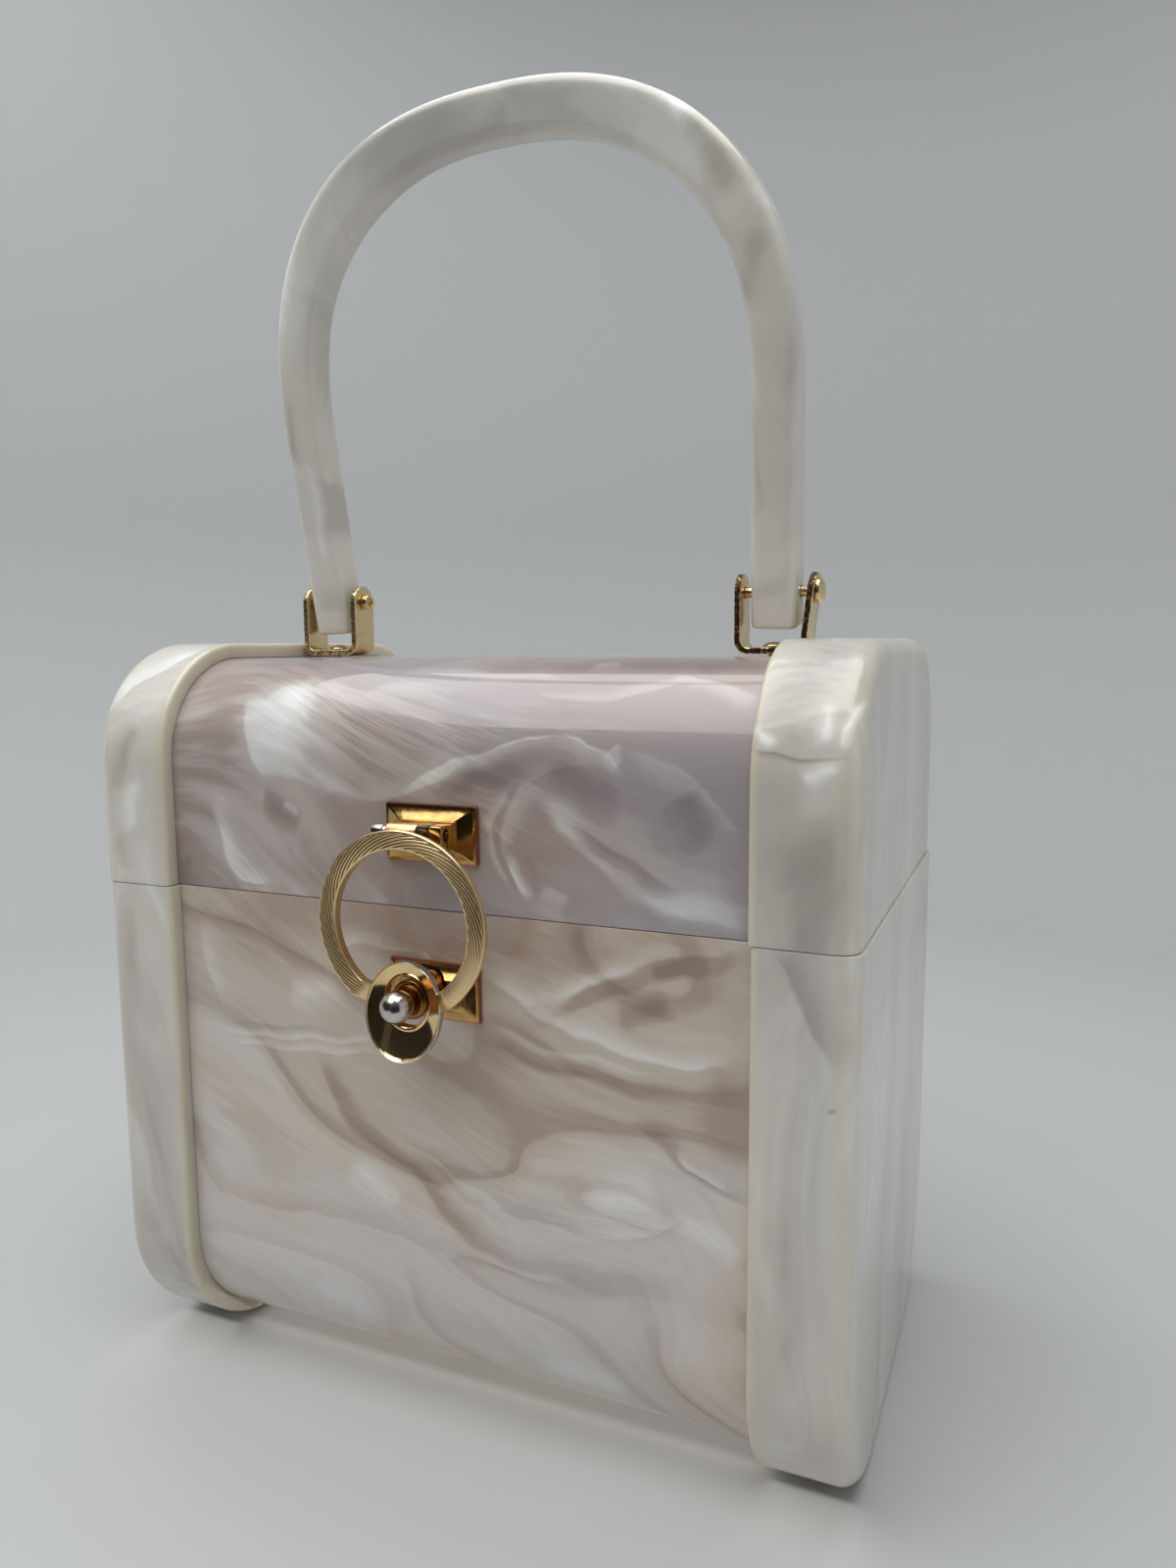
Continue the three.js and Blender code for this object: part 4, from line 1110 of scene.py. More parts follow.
# %% Brackets
BRACKET_X = 50.1
BRACKET_WIDTH = 14.0
BRACKET_DEPTH = 7.3
BRACKET_HEIGHT = 15.2
BRACKET_STRIP = 1.25
BRACKET_BEND = 2.6
BRACKET_SPLAY = 1.45
BRACKET_EDGE = 0.24
SHEARED_LEFT = 0.45
SHEARED_RIGHT = 0.8
SHEAR_POWER = 3
UNIT_EDGE = 0.5
TINY = 1e-9


def strip_line(splay, steps=12, ear_steps=7, floor_steps=10):
    """Middle line [x, z] of the strip, its outward normals and half widths, from inner to outer ear tip."""
    half = BRACKET_WIDTH / 2
    flat = half - BRACKET_BEND
    mid = BRACKET_BEND - BRACKET_STRIP / 2
    tilt = math.atan2(splay, BRACKET_HEIGHT - BRACKET_BEND)
    round_end = BRACKET_DEPTH / 2
    tip = np.linspace(0, QUARTER, steps + 1)
    drop = round_end * (1 - np.cos(tip))
    widths = round_end * np.sin(tip)
    straight = np.linspace(round_end, BRACKET_HEIGHT - BRACKET_BEND, ear_steps)[1:]
    down = np.concatenate([drop, straight])
    inner = np.stack([np.full(len(down), -flat - mid), BRACKET_HEIGHT - down], axis=1)
    inner_normal = np.tile([-1.0, 0.0], (len(down), 1))
    first = np.linspace(math.pi, 1.5 * math.pi, steps + 1)[1:]
    first_normal = np.stack([np.cos(first), np.sin(first)], axis=1)
    floor_x = np.linspace(-flat, flat, floor_steps)[1:]
    floor = np.stack([floor_x, np.full(len(floor_x), BRACKET_STRIP / 2)], axis=1)
    floor_normal = np.tile([0.0, -1.0], (len(floor_x), 1))
    second = np.linspace(1.5 * math.pi, 2 * math.pi - tilt, steps + 1)[1:]
    second_normal = np.stack([np.cos(second), np.sin(second)], axis=1)
    foot = np.array([flat, BRACKET_BEND]) + mid * second_normal[-1]
    rise = np.array([math.sin(tilt), math.cos(tilt)])
    reach = (BRACKET_HEIGHT - foot[1]) / rise[1]
    up = np.concatenate([np.linspace(0, reach - round_end, ear_steps)[1:-1], reach - drop[::-1]])
    outer = foot + up[:, None] * rise
    outer_normal = np.tile(second_normal[-1], (len(up), 1))
    line = np.vstack(
        [
            inner,
            np.array([-flat, BRACKET_BEND]) + mid * first_normal,
            floor,
            np.array([flat, BRACKET_BEND]) + mid * second_normal,
            outer,
        ]
    )
    normals = np.vstack([inner_normal, first_normal, floor_normal, second_normal, outer_normal])
    width = np.full(len(line), round_end)
    width[: steps + 1] = widths
    width[-steps - 1 :] = widths[::-1]
    return line, normals, width


def strip_skin(splay, side, sheared):
    """Flat section carried along the line. Its rounded corners keep their size, so only the flats between
    them follow the width, and the sides that were sheared get the mark."""
    line, normals, width = strip_line(splay)
    unit, facing = rounded_rectangle(2, 2, UNIT_EDGE, 3, (2, 2))
    edge = np.minimum(BRACKET_EDGE, width)[:, None]
    corner = np.sign(np.where(np.abs(unit) > TINY, unit, 0))
    inner_share = np.clip(np.abs(unit) / UNIT_EDGE, 0, 1)
    y = corner[:, 0] * inner_share[:, 0] * (width[:, None] - edge) + edge * facing[:, 0]
    through = corner[:, 1] * inner_share[:, 1] * (BRACKET_STRIP / 2 - edge) + edge * facing[:, 1]
    x = line[:, :1] + through * normals[:, :1]
    z = line[:, 1:] + through * normals[:, 1:]
    grid = np.stack([side * x, y, z], axis=-1)
    grid = grid + (LID_X + side * BRACKET_X, 0, WRAP_TOP + SEAT)
    return skin(grid, close_columns=True, mark=sheared * np.abs(facing[:, 0]) ** SHEAR_POWER)


# %% [markdown]
# The pins and rivets are turned pieces. Each pin has a low domed head outside the outer ear. The left one's
# other end is a hollow tail, spread over the ear, and the right one's is filed flush.

# %% Pins and rivets
PIN_HEAD_RADIUS = 2.45
PIN_HEAD_HEIGHT = 1.4
PIN_TAIL_RADIUS = 1.65
PIN_TAIL_LENGTH = 1.5
PIN_RECESS_RADIUS = 0.9
PIN_RECESS_DEPTH = 0.9
PIN_EASE = 0.22
PIN_HEAD_SIDE = 0.25
RIVET_RADIUS = 1.2
RIVET_HEAD_RADIUS = 2.2
RIVET_HEAD_HEIGHT = 1.0


def dome(radius, base, height, steps=10):
    """Rows of a low dome from its rim to its crown: a quarter of an ellipse."""
    angles = np.linspace(0, QUARTER, steps + 1)
    return np.stack([radius * np.cos(angles), base + height * np.sin(angles)], axis=1)


def pin_rows(splay, hollow_tail):
    """Rows of a pin from its tail to the crown of its head."""
    outside = BRACKET_WIDTH / 2 + SEAT / 2
    head = outside + splay * PIN_HEIGHT / BRACKET_HEIGHT
    if hollow_tail:
        tip = -outside - PIN_TAIL_LENGTH
        floor = tip + PIN_RECESS_DEPTH
        tail = [[0, floor], [PIN_RECESS_RADIUS, floor], [PIN_RECESS_RADIUS, tip], [PIN_TAIL_RADIUS, tip]]
        tail += [[PIN_TAIL_RADIUS, -outside], [PIN_RADIUS, -outside]]
    else:
        tail = [[0, -outside], [PIN_RADIUS, -outside]]
    rows = eased(tail + [[PIN_RADIUS, head], [PIN_HEAD_RADIUS, head]], PIN_EASE)
    crown = dome(PIN_HEAD_RADIUS, head + PIN_HEAD_SIDE, PIN_HEAD_HEIGHT - PIN_HEAD_SIDE)
    return np.vstack([rows, crown])


def rivet_rows():
    """Rows of a rivet with a dome at each end: in the bracket, and inside the lid."""
    top_head = BRACKET_STRIP + SEAT / 3
    low_head = -SHEET - 2 * SEAT
    upper = dome(RIVET_HEAD_RADIUS, top_head, RIVET_HEAD_HEIGHT)
    lower = dome(RIVET_HEAD_RADIUS, low_head, -RIVET_HEAD_HEIGHT)[::-1]
    return np.vstack([lower, [[RIVET_RADIUS, low_head], [RIVET_RADIUS, top_head]], upper])


def bracket_piece(name, made, skins):
    """Gold piece on the lid, named after the CAD node that it stands for and the way it is made."""
    return make_piece(f"{name}_{made}", skins, "lid", bracket_gold, [name])


SIDES = ((-1, "left", 0.0, SHEARED_LEFT), (1, "right", BRACKET_SPLAY, SHEARED_RIGHT))
for side, word, splay, sheared in SIDES:
    x = LID_X + side * BRACKET_X
    strip = bracket_piece(f"bracket_{word}", "strip", [strip_skin(splay, side, sheared)])
    drill(strip, [bar_through(x - BRACKET_WIDTH, x + BRACKET_WIDTH, PIN_RADIUS + RUNNING, 0, PIVOT_HEIGHT)])
    points, faces, marks = turned(pin_rows(splay, side < 0), "x")
    pin = (points * (side, 1, 1) + (x, 0, PIVOT_HEIGHT), faces, marks)
    bracket_piece(f"handle_pin_{word}", "turned", [pin])
    rivet = moved(turned(rivet_rows(), "z"), (x, 0, WRAP_TOP + SEAT))
    bracket_piece(f"bracket_rivet_{word}", "turned", [rivet])

# %% [markdown]
# ## The clasp plates
# Each plate is pressed from thin brass to a low pyramid with a flat top. Rounded rectangles of falling size
# are stacked outward from the wrap, with a soft rim and slightly hollow slopes, which is what bends the
# reflections. The rim is marked, because copper shows there.

# %% Plates
WRAP_FRONT = -BOX_DEPTH / 2 + CAP_PROUD
PLATE_WIDTH = 18.4
PLATE_HEIGHT = 10.4
PLATE_RIM = 0.9
PLATE_RISE = 2.3
PLATEAU_WIDTH_SHARE = 0.6
PLATEAU_HEIGHT_SHARE = 0.5
PLATE_EDGE = 0.35
PLATE_EDGE_START = 0.1
SLOPE_START = 1.1
SLOPE_HOLLOW = 0.14
TOP_CROWN = 0.04
TOP_INSET = 0.5
PLATE_CRISP = 28
UPPER_PLATE_X = 0.6
UPPER_PLATE_Z = 115.0
LOWER_PLATE_Z = 86.7


def plate_skin(x, z, slope_steps=9):
    """Rounded rectangles stacked outward: the rim's rows of [out, inset, mark], then the hollow slope, which
    falls back by a half sine, and the flat top."""
    share = np.linspace(0, 1, slope_steps)
    rim = np.array(
        [
            [SEAT / 3, 0, 0.4],
            [PLATE_RIM - PLATE_EDGE, 0, 0.7],
            [PLATE_RIM - PLATE_EDGE_START, PLATE_EDGE_START, 0.75],
            [PLATE_RIM, PLATE_EDGE, 0.45],
        ]
    )
    slope_out = PLATE_RIM + (PLATE_RISE - PLATE_RIM) * share - SLOPE_HOLLOW * np.sin(math.pi * share)
    full = np.array([PLATE_WIDTH, PLATE_HEIGHT])
    flat = full * (PLATEAU_WIDTH_SHARE, PLATEAU_HEIGHT_SHARE)
    slope_size = (full - SLOPE_START)[None] + share[:, None] * (flat - full + SLOPE_START)[None]
    sizes = np.vstack([full - 2 * rim[:, 1:2], slope_size, flat - TOP_INSET])
    outs = np.concatenate([rim[:, 0], slope_out, [PLATE_RISE + TOP_CROWN]])
    marks = np.concatenate([rim[:, 2], np.zeros(slope_steps + 1)])
    rings = [rounded_rectangle(width, height, PLATE_EDGE, 4, (8, 6))[0] for width, height in sizes]
    flat_points = np.stack(rings)
    out = np.broadcast_to(outs[:, None], flat_points.shape[:2])
    grid = np.stack([flat_points[:, :, 0] + x, WRAP_FRONT - out, flat_points[:, :, 1] + z], axis=-1)
    return skin(grid, close_columns=True, lids=first_and_last_row(grid), mark=marks[:, None])


# %% [markdown]
# The upper plate also carries a lip, and a cheek and a dark steel knuckle for the ring's pin. The cheek is
# drilled, and the pin's end sits a little below its face. At its other end the pin has a small knob.

# %% Upper plate with its lip, cheek and knuckle
PIVOT_OUT = 5.7
PIVOT_Z = 115.9
CLASP_PIN_RADIUS = 0.9
CLASP_PIN_LEFT = -7.9
BARREL_RADIUS = 1.6
BARREL_LEFT = -4.7
BARREL_RIGHT = 1.3
KNUCKLE_LEFT = 1.6
KNUCKLE_RIGHT = 4.0
KNUCKLE_HALF = 1.6
CHEEK_RIGHT = 6.5
CHEEK_HEIGHT = 4.6
PIN_SINK = 0.7
PIN_KNOB = 2.2
PIN_KNOB_RADIUS = 1.25
LIP_LEFT = -4.5
LIP_DROP = 0.3
LIP_RISE = 1.0
LIP_THICKNESS = 0.5
LIP_SOFTNESS = 0.16
KNUCKLE_SOFTNESS = 0.25
KNUCKLE_GAP = 0.05
CHEEK_SOFTNESS = 0.3
CHEEK_BORE = CLASP_PIN_RADIUS + 0.1
KNOB_EASE = 0.3

knuckle_top = PIVOT_Z + KNUCKLE_HALF
root = WRAP_FRONT - PLATE_RISE / 2
tip_y = WRAP_FRONT - PIVOT_OUT - KNUCKLE_HALF
lip_low = knuckle_top - LIP_DROP
upper_parts = [
    plate_skin(LID_X + UPPER_PLATE_X, UPPER_PLATE_Z),
    soft_block(
        (LID_X + LIP_LEFT, WRAP_FRONT - PLATE_RISE - LIP_RISE, lip_low),
        (LID_X + CHEEK_RIGHT, root, lip_low + LIP_THICKNESS),
        LIP_SOFTNESS,
    ),
]
make_piece(
    "clasp_upper_plate_pressed",
    upper_parts,
    "lid",
    plate_gold,
    ["clasp_upper_plate"],
    PLATE_CRISP,
)
knuckle = soft_block(
    (LID_X + KNUCKLE_LEFT, tip_y, PIVOT_Z - KNUCKLE_HALF),
    (LID_X + KNUCKLE_RIGHT - KNUCKLE_GAP, root, knuckle_top),
    KNUCKLE_SOFTNESS,
)
make_piece("clasp_knuckle", [knuckle], "lid", knuckle_steel)
cheek_block = soft_block(
    (LID_X + KNUCKLE_RIGHT, tip_y, knuckle_top - CHEEK_HEIGHT),
    (LID_X + CHEEK_RIGHT, root, knuckle_top),
    CHEEK_SOFTNESS,
)
cheek = make_piece("clasp_cheek", [cheek_block], "lid", plate_gold, (), PLATE_CRISP)
cheek_hole = (LID_X + CHEEK_RIGHT - 2 * PIN_SINK, LID_X + CHEEK_RIGHT + PIN_SINK)
drill(cheek, [bar_through(*cheek_hole, CHEEK_BORE, WRAP_FRONT - PIVOT_OUT, PIVOT_Z)], PLATE_CRISP)

pin_profile = eased(
    [
        [0, CLASP_PIN_LEFT],
        [PIN_KNOB_RADIUS, CLASP_PIN_LEFT],
        [PIN_KNOB_RADIUS, CLASP_PIN_LEFT + PIN_KNOB],
        [CLASP_PIN_RADIUS, CLASP_PIN_LEFT + PIN_KNOB],
        [CLASP_PIN_RADIUS, CHEEK_RIGHT - PIN_SINK],
        [0, CHEEK_RIGHT - PIN_SINK],
    ],
    KNOB_EASE,
)
clasp_pin = moved(turned(pin_profile, "x"), (LID_X, WRAP_FRONT - PIVOT_OUT, PIVOT_Z))
make_piece("clasp_hinge_pin_turned", [clasp_pin], "lid", ball_silver, ["clasp_hinge_pin"])

# %% [markdown]
# ## The ring and its disc
# The ring is a flat band with fine slanting lines cut into its face, which run from the inner to the outer
# edge in about an eighth of a turn. They are real grooves: the face is a dense grid whose depth follows a
# wave in the angle and the distance across the band. On one side they have worn shallow. Towards the disc
# they fade, and the band sinks into it.

# %% Ring band
RING_Z = 100.8
RING_OUTER = 16.4
RING_INNER = 13.0
RING_FRONT_OUT = 11.0
RING_THICKNESS = 2.0
RING_TAPER = 0.4
RING_EDGE = 0.4
GROOVES = 40
GROOVES_ACROSS = 5.0
GROOVE_DEPTH = 0.16
GROOVE_POWER = 2.2
GROOVE_MARGIN = 0.05
LEAST_GROOVE = 0.25
WORN_TURN = 0.52
WORN_SLOPE = 1.8
WORN_LEVEL = 1.7
BAND_CROWN = 0.18
BACK_EDGE = 0.15
BACK_STEP = 0.1
BAND_END = math.radians(24)
BAND_BLEND = math.radians(14)
BAND_SINK = 1.7


def band_skin(turns=900, across=44):
    """Band section carried round from one side of the disc to the other, its face cut by slanting waves."""
    angles = -QUARTER + np.linspace(BAND_END, 2 * math.pi - BAND_END, turns)
    from_end = np.minimum(np.arange(turns), np.arange(turns)[::-1]) * (angles[1] - angles[0])
    blend = np.clip(from_end / BAND_BLEND, 0, 1)
    blend = blend * blend * (3 - 2 * blend)
    share = np.linspace(0, 1, across)
    face_r = RING_INNER + RING_EDGE + share * (RING_OUTER - RING_INNER - 2 * RING_EDGE)
    wave = GROOVES * angles[:, None] + 2 * math.pi * GROOVES_ACROSS * share[None]
    cut = np.clip(0.5 - 0.5 * np.cos(wave), 0, 1) ** GROOVE_POWER
    fade = np.clip(np.minimum(share, 1 - share) / GROOVE_MARGIN, 0, 1)[None] * blend[:, None] ** 2
    kept = np.clip(WORN_SLOPE * np.sin(angles - WORN_TURN) + WORN_LEVEL, 0, 1)[:, None]
    cut = cut * fade * (LEAST_GROOVE + (1 - LEAST_GROOVE) * kept)
    crown = BAND_CROWN * np.sin(math.pi * share)[None]
    sink = BAND_SINK * (1 - blend)[:, None]
    face_out = RING_FRONT_OUT - GROOVE_DEPTH * cut + crown - sink
    corner = np.linspace(0, QUARTER, 5)[1:-1]
    back_out = RING_FRONT_OUT - RING_THICKNESS
    outer_r = RING_OUTER - RING_EDGE + RING_EDGE * np.sin(corner)
    outer_out = RING_FRONT_OUT - RING_EDGE + RING_EDGE * np.cos(corner)
    inner_r = RING_INNER + RING_EDGE - RING_EDGE * np.cos(corner)
    inner_out = RING_FRONT_OUT - RING_EDGE + RING_EDGE * np.sin(corner)
    outer_wall = [RING_OUTER, RING_OUTER - RING_TAPER / 2, RING_OUTER - RING_TAPER]
    outer_wall_out = [RING_FRONT_OUT - RING_EDGE, back_out + RING_THICKNESS / 3, back_out + BACK_STEP]
    inner_wall = [RING_INNER + BACK_EDGE, RING_INNER, RING_INNER]
    inner_wall_out = [back_out, back_out + 2 * BACK_STEP, RING_FRONT_OUT - RING_EDGE]
    back_edge = [RING_OUTER - RING_TAPER - BACK_EDGE]
    tail_r = np.concatenate([outer_r, outer_wall, back_edge, inner_wall, inner_r])
    tail_out = np.concatenate([outer_out, outer_wall_out, [back_out], inner_wall_out, inner_out])
    radius = np.broadcast_to(np.concatenate([face_r, tail_r]), (turns, across + len(tail_r)))
    out = np.hstack([face_out, np.broadcast_to(tail_out, (turns, len(tail_out))) - sink])
    marks = np.hstack([cut, np.zeros((turns, len(tail_out)))])
    x = radius * np.cos(angles)[:, None] + LID_X
    z = radius * np.sin(angles)[:, None] + RING_Z
    grid = np.stack([x, WRAP_FRONT - out, z], axis=-1)
    return skin(grid, close_columns=True, lids=first_and_last_row(grid), mark=marks)


# %% [markdown]
# The disc at the ring's foot leans a little, is hollow like a dish and polished, and has a thin bead round
# its hole and its rim, where the silver under the gold shows. At the top a barrel turns on the pin, and a
# short neck joins it to the band.

# %% Disc, barrel and neck
DISC_Z = 85.6
DISC_HALF_WIDTH = 7.4
DISC_HALF_HEIGHT = 8.5
DISC_HOLE_Z = 87.2
DISC_HOLE_HALF_WIDTH = 4.2
DISC_HOLE_HALF_HEIGHT = 4.5
DISC_RIM_OUT = 10.6
DISC_HOLLOW = 2.0
DISC_SHEET = 1.3
DISC_TILT = 1.4
BEAD = 0.22
NECK_WIDTH = 4.0
NECK_SOFTNESS = 0.25
NECK_SINK = 1.0
BARREL_EASE = 0.2
RING_CRISP = 50
# Columns: share of the way from hole to rim, rise above the hollow, silver.
HOLE_BEAD = [
    (0.0, -DISC_SHEET, 0),
    (0.0, -0.1, 0),
    (0.02, 0.12, 0),
    (0.07, BEAD, 0),
    (0.12, 0.06, 0),
]
DISC_FACE = [(share, 0, 0) for share in np.linspace(0.14, 0.9, 14)]
RIM_BEAD = [
    (0.93, 0.1, 0.2),
    (0.965, BEAD, 0.8),
    (0.99, 0.1, 1.0),
    (1.0, -0.2, 1.0),
    (1.0, -DISC_SHEET + 0.15, 0.6),
    (0.97, -DISC_SHEET, 0),
]


def disc_skin(sides=120):
    """Ovals from the hole (share 0) to the rim (share 1). The face is a hollow whose depth below the rim
    falls with the square of the distance from the disc's middle."""
    share, rise, silver = np.array(HOLE_BEAD + DISC_FACE + RIM_BEAD).T
    angles = np.linspace(0, 2 * math.pi, sides, endpoint=False)
    half_width = DISC_HOLE_HALF_WIDTH + share * (DISC_HALF_WIDTH - DISC_HOLE_HALF_WIDTH)
    half_height = DISC_HOLE_HALF_HEIGHT + share * (DISC_HALF_HEIGHT - DISC_HOLE_HALF_HEIGHT)
    middle = DISC_HOLE_Z + share * (DISC_Z - DISC_HOLE_Z)
    x = half_width[:, None] * np.cos(angles)
    z = half_height[:, None] * np.sin(angles) + middle[:, None] - DISC_Z
    from_middle = (x / DISC_HALF_WIDTH) ** 2 + (z / DISC_HALF_HEIGHT) ** 2
    out = DISC_RIM_OUT - DISC_HOLLOW * (1 - from_middle) + rise[:, None]
    lean = DISC_TILT * z / DISC_HALF_HEIGHT
    grid = np.stack([x + LID_X, WRAP_FRONT - out + lean, z + DISC_Z], axis=-1)
    return skin(grid, close_rows=True, close_columns=True, mark=silver[:, None])


bore = CLASP_PIN_RADIUS + RUNNING
barrel_rows = tube_rows(bore, BARREL_RADIUS, BARREL_LEFT, BARREL_RIGHT, BARREL_EASE)
barrel = moved(turned(barrel_rows, "x"), (LID_X, WRAP_FRONT - PIVOT_OUT, PIVOT_Z))
neck_x = LID_X + (BARREL_LEFT + BARREL_RIGHT) / 2
neck = soft_block(
    (neck_x - NECK_WIDTH / 2, WRAP_FRONT - RING_FRONT_OUT + NECK_SINK, PIVOT_Z - BARREL_RADIUS / 2),
    (neck_x + NECK_WIDTH / 2, WRAP_FRONT - PIVOT_OUT - bore - KNUCKLE_GAP, PIVOT_Z + BARREL_RADIUS / 2),
    NECK_SOFTNESS,
)
ring_parts = [band_skin(), barrel, neck]
make_piece(
    "clasp_ring_engraved",
    ring_parts,
    "clasp_ring",
    ring_gold,
    ["clasp_ring"],
    RING_CRISP,
)
make_piece("clasp_ring_disc", [disc_skin()], "clasp_ring", disc_gold, (), RING_CRISP)

# %% [markdown]
# ## The stud
# The lower plate carries a brass post with a collar, and a silver ball is soldered to its tip. Post, ball and
# the hole in the plate are turned round one axis that points to the front.

# %% Lower plate, post and ball
STUD_X = -0.2
STUD_Z = 87.3
STUD_COLLAR_RADIUS = 3.5
STUD_COLLAR_OUT = 8.8
STUD_NECK_RADIUS = 2.5
BALL_RADIUS = 2.8
BALL_OUT = 12.8
BALL_SEAT = 1.4
POST_EASE = 0.4

lower = make_piece(
    "clasp_lower_plate_pressed",
    [plate_skin(BASE_X, LOWER_PLATE_Z)],
    "base",
    plate_gold,
    ["clasp_lower_plate"],
    PLATE_CRISP,
)
hole_rows = rod_rows(STUD_COLLAR_RADIUS + SEAT, -PLATE_RISE, 2 * PLATE_RISE)
stud_place = (BASE_X + STUD_X, WRAP_FRONT, STUD_Z)
drill(lower, [moved(turned(hole_rows, "y"), stud_place)], PLATE_CRISP)

post_tip = BALL_OUT - BALL_SEAT
post_rows = eased(
    [
        [0, SEAT / 3],
        [STUD_COLLAR_RADIUS, SEAT / 3],
        [STUD_COLLAR_RADIUS, STUD_COLLAR_OUT],
        [STUD_NECK_RADIUS, STUD_COLLAR_OUT],
        [STUD_NECK_RADIUS, post_tip],
        [0, post_tip],
    ],
    POST_EASE,
)
post = moved(turned(post_rows, "y"), stud_place)
make_piece("clasp_stud_turned", [post], "base", post_brass, ["clasp_stud"])

seat_angle = math.asin((-BALL_SEAT + SEAT / 3) / BALL_RADIUS)
ball_angles = np.linspace(seat_angle, QUARTER, 24)
ball_out = BALL_OUT + BALL_RADIUS * np.sin(ball_angles)
ball_arc = np.stack([BALL_RADIUS * np.cos(ball_angles), ball_out], axis=1)
ball_rows = np.vstack([[[0, BALL_OUT - BALL_SEAT + SEAT / 3]], ball_arc])
ball = moved(turned(ball_rows, "y"), stud_place)
make_piece("clasp_ball_turned", [ball], "base", ball_silver, ["clasp_ball"])

# %% [markdown]
# ## The back hinges
# Nothing of the back shows in the photograph, so two plain leaf hinges carry the lid: flat leaves with soft
# edges, knuckles rolled round a pin, and a web that joins each knuckle to its leaf.

# %% Hinges
HINGE_X = 34.0
HINGE_WIDTH = 24.0
HINGE_LEAF_HEIGHT = 14.0
HINGE_LEAF = 1.1
HINGE_BARREL_RADIUS = 2.2
HINGE_PIN_RADIUS = 1.0
HINGE_EASE = 0.25
HINGE_PROUD = 0.4
HINGE_Y = BOX_DEPTH / 2 + HINGE_PROUD
LEAF_SOFTNESS = 0.3
WEB_SOFTNESS = 0.2
WEB_GAP = 0.05
WRAP_BACK = BOX_DEPTH / 2 - CAP_PROUD


def knuckle_skins(left, right_end, x, up):
    """A tube round the pin and the web between it and its leaf, which lies above (up 1) or below (up -1)."""
    bore_radius = HINGE_PIN_RADIUS + RUNNING
    rows = tube_rows(bore_radius, HINGE_BARREL_RADIUS, left, right_end, HINGE_EASE)
    tube = moved(turned(rows, "x"), (x, HINGE_Y, SPLIT_HEIGHT))
    low, high = sorted((SPLIT_HEIGHT + up * SEAT, SPLIT_HEIGHT + up * HINGE_BARREL_RADIUS))
    front = WRAP_BACK + SEAT / 3
    back = HINGE_Y - bore_radius - WEB_GAP
    web = soft_block((x + left, front, low), (x + right_end, back, high), WEB_SOFTNESS)
    return [tube, web]


def leaf_skin(x, up):
    """Flat leaf on the back of the wrap, above the cut (up 1) or below it (up -1)."""
    low, high = sorted((SPLIT_HEIGHT + up * SEAT, SPLIT_HEIGHT + up * HINGE_LEAF_HEIGHT))
    back = WRAP_BACK + SEAT / 3
    half = HINGE_WIDTH / 2
    return soft_block((x - half, back, low), (x + half, back + HINGE_LEAF, high), LEAF_SOFTNESS)


third = HINGE_WIDTH / 3
half_pin = HINGE_WIDTH / 2
ease = RUNNING / 2
for side, word in ((-1, "left"), (1, "right")):
    x = side * HINGE_X
    lid_parts = [leaf_skin(x, 1), *knuckle_skins(-third / 2 + ease, third / 2 - ease, x, 1)]
    name = f"hinge_lid_leaf_{word}"
    make_piece(name + "_rolled", lid_parts, "lid", hinge_gold, [name])
    base_parts = [leaf_skin(x, -1)]
    base_parts += knuckle_skins(-half_pin, -third / 2 - ease, x, -1)
    base_parts += knuckle_skins(third / 2 + ease, half_pin, x, -1)
    name = f"hinge_base_leaf_{word}"
    make_piece(name + "_rolled", base_parts, "base", hinge_gold, [name])
    rows = eased(rod_rows(HINGE_PIN_RADIUS, -half_pin, half_pin), HINGE_EASE)
    rod = moved(turned(rows, "x"), (x, HINGE_Y, SPLIT_HEIGHT))
    make_piece(f"hinge_pin_{word}_turned", [rod], "base", ball_silver, [f"hinge_pin_{word}"])

# %% [markdown]
# ## Floor and light
# The purse stands in a small round light tent: a pale floor that curves up into a wall, and a glowing
# ceiling. Pale paper on most sides makes the light soft. The tent is open at the front, where the dark room
# begins. Polished metal shows that opening as a dark band between the bright floor and ceiling, and two
# dark cards, which only mirrors see, make the band wider. For looks from behind, the camera alone sees a
# front wall.

# %% Tent
TENT_RADIUS = 640.0
TENT_BEND = 240.0
TENT_HIGH = 820.0
TENT_OPENING = math.radians(100)


def tent_wall(first, last, columns=96):
    """Wall between two angles: a profile, a quarter circle and a straight, swung round the middle."""
    profile = np.linspace(0, QUARTER, 24)
    radius = np.concatenate([TENT_RADIUS - TENT_BEND + TENT_BEND * np.sin(profile), [TENT_RADIUS]])[:, None]
    height = np.concatenate([TENT_BEND * (1 - np.cos(profile)), [TENT_HIGH]])[:, None]
    angles = np.linspace(first, last, columns)
    level_height = np.broadcast_to(height, (len(height), columns))
    return skin(np.stack([radius * np.cos(angles), radius * np.sin(angles), level_height], axis=-1))


def tent_floor():
    """Floor disc that reaches the wall's foot, and goes on to the full radius in the opening."""
    angles = -QUARTER + np.linspace(0, 2 * math.pi, 160, endpoint=False)
    from_front = np.abs((angles + QUARTER + math.pi) % (2 * math.pi) - math.pi)
    edge = np.where(from_front < TENT_OPENING / 2, TENT_RADIUS, TENT_RADIUS - TENT_BEND)
    reach = np.array([[0.5], [1.0]]) * edge
    floor = np.stack([reach * np.cos(angles), reach * np.sin(angles), np.zeros_like(reach)], axis=-1)
    return skin(floor, close_columns=True, lids=(np.arange(len(angles)),))


def card_skin(first, last, height):
    """Upright card on the floor between two points [x, y]."""
    foot = np.array([(*first, 0), (*last, 0)], float)
    return skin(np.stack([foot, foot + (0, 0, height)]))


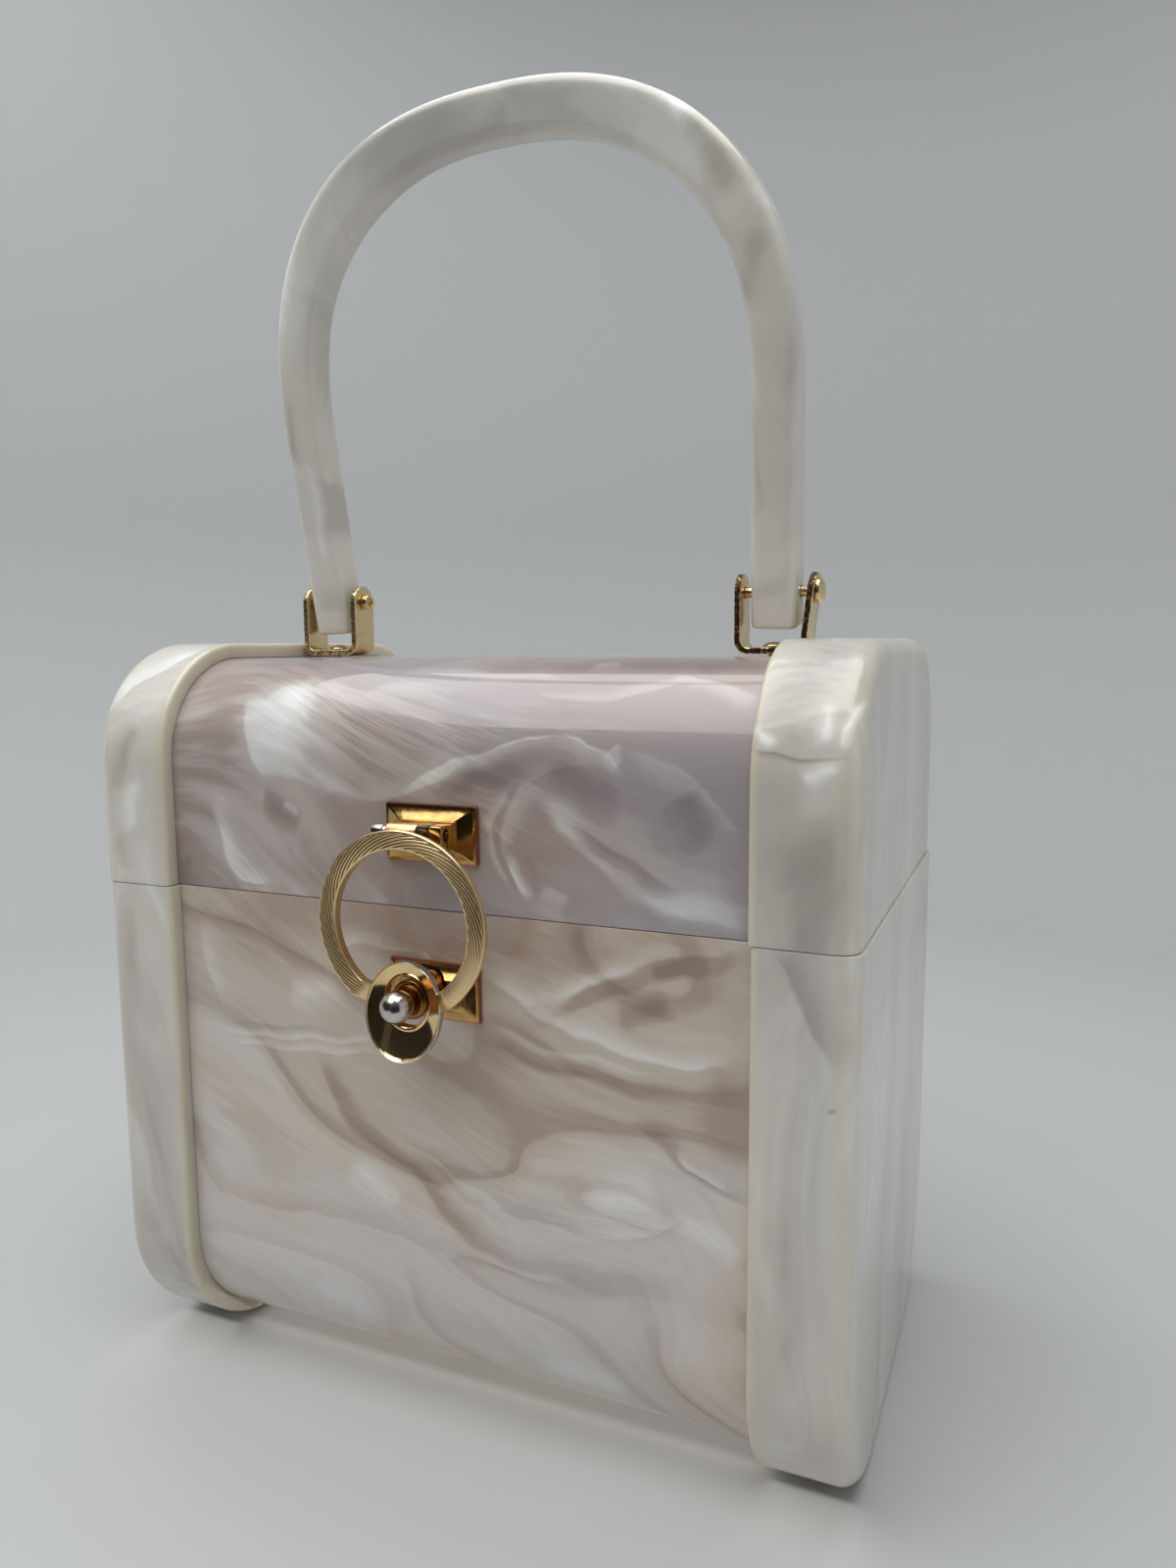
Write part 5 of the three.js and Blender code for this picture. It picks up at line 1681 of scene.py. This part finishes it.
def set_piece(name, skins, finish, seen_by):
    """Piece of the set, which all rays see, or mirrors alone, or the camera alone."""
    mesh = mesh_from(name, skins)
    mesh.shade_smooth()
    mesh.materials.append(finish.material)
    thing = bpy.data.objects.new(name, mesh)
    bpy.context.scene.collection.objects.link(thing)
    thing.visible_camera = seen_by != "mirrors"
    thing.visible_glossy = seen_by != "camera"
    thing.visible_diffuse = seen_by == "all"
    thing.visible_shadow = seen_by == "all"


paper = Finish("tent paper", Roughness=0.7, Base_Color=tint("babbbb"))
dark = Finish("dark card", Roughness=0.9, Base_Color=tint("1c1a18"))
opening_start = -QUARTER - TENT_OPENING / 2
opening_end = -QUARTER + TENT_OPENING / 2
set_piece("tent", [tent_wall(opening_end, opening_start + 2 * math.pi), tent_floor()], paper, "all")
set_piece("front wall", [tent_wall(opening_start, opening_end)], paper, "camera")
# Columns: side, first and last foot point [x, y], height.
DARK_CARDS = [
    ("right", (-10, -260), (330, -260), 520),
    ("left", (-640, -120), (-120, -640), 420),
]
for word, first, last, height in DARK_CARDS:
    set_piece(f"dark card {word}", [card_skin(first, last, height)], dark, "mirrors")

# %% [markdown]
# The ceiling is the main light, a little cool. Weak fills from the front and the right lift the shades. Some
# light also comes through the acrylic onto the floor, and faint warm lamps under the base and along the front
# bends stand for it.

# %% Lamps and room
ROOM_SHADE = (0.07, 0.07, 0.072, 1)
room = bpy.data.worlds.new("room")
bpy.context.scene.world = room
room.use_nodes = True
room.node_tree.nodes["Background"].inputs["Color"].default_value = ROOM_SHADE


def panel(name, middle, aim, size, power, colour, mirrored):
    """Rectangular area light at a place, turned to face an aim, all in millimetres."""
    light = bpy.data.lights.new(name, "AREA")
    light.shape = "RECTANGLE"
    light.size, light.size_y = (length * MM for length in size)
    light.energy = power
    light.color = colour
    lamp = bpy.data.objects.new(name, light)
    lamp.location = Vector(middle) * MM
    towards = (Vector(aim) - Vector(middle)).normalized()
    lamp.rotation_euler = towards.to_track_quat("-Z", "Y").to_euler()
    lamp.visible_glossy = mirrored
    lamp.visible_camera = mirrored
    bpy.context.scene.collection.objects.link(lamp)


COOL = (0.97, 0.99, 1.0)
WARM = (1.0, 0.97, 0.93)
SHEET_GLOW = (1.0, 0.95, 0.88)
CAP_X = 66.5
CAP_LAMP = ((15, 20), 0.0005, SHEET_GLOW, False)
# Columns: name, middle, aim and size, in millimetres, power in watts, colour, whether mirrors show it.
LAMPS = [
    ("ceiling", (-60, -200, 780), (-60, -199, 0), (900, 1000), 8.5, COOL, True),
    ("front fill", (-150, -900, 160), (0, 0, 40), (900, 500), 0.6, WARM, False),
    ("side fill", (540, -120, 300), (75, 0, 70), (300, 300), 0.14, COOL, False),
    ("light through the sheet", (0, -12, 3.0), (0, -11.9, 0), (128, 30), 0.005, SHEET_GLOW, False),
    ("light through the bend", (0, -33, 10), (0, -43, 0), (128, 24), 0.003, SHEET_GLOW, False),
    ("light through the left cap", (-CAP_X, -35, 7.8), (-CAP_X, -45, -2.2), *CAP_LAMP),
    ("light through the right cap", (CAP_X, -35, 7.8), (CAP_X, -45, -2.2), *CAP_LAMP),
]
for lamp_row in LAMPS:
    panel(*lamp_row)

bpy.context.scene.view_settings.view_transform = "Standard"
print("tent and light are set")
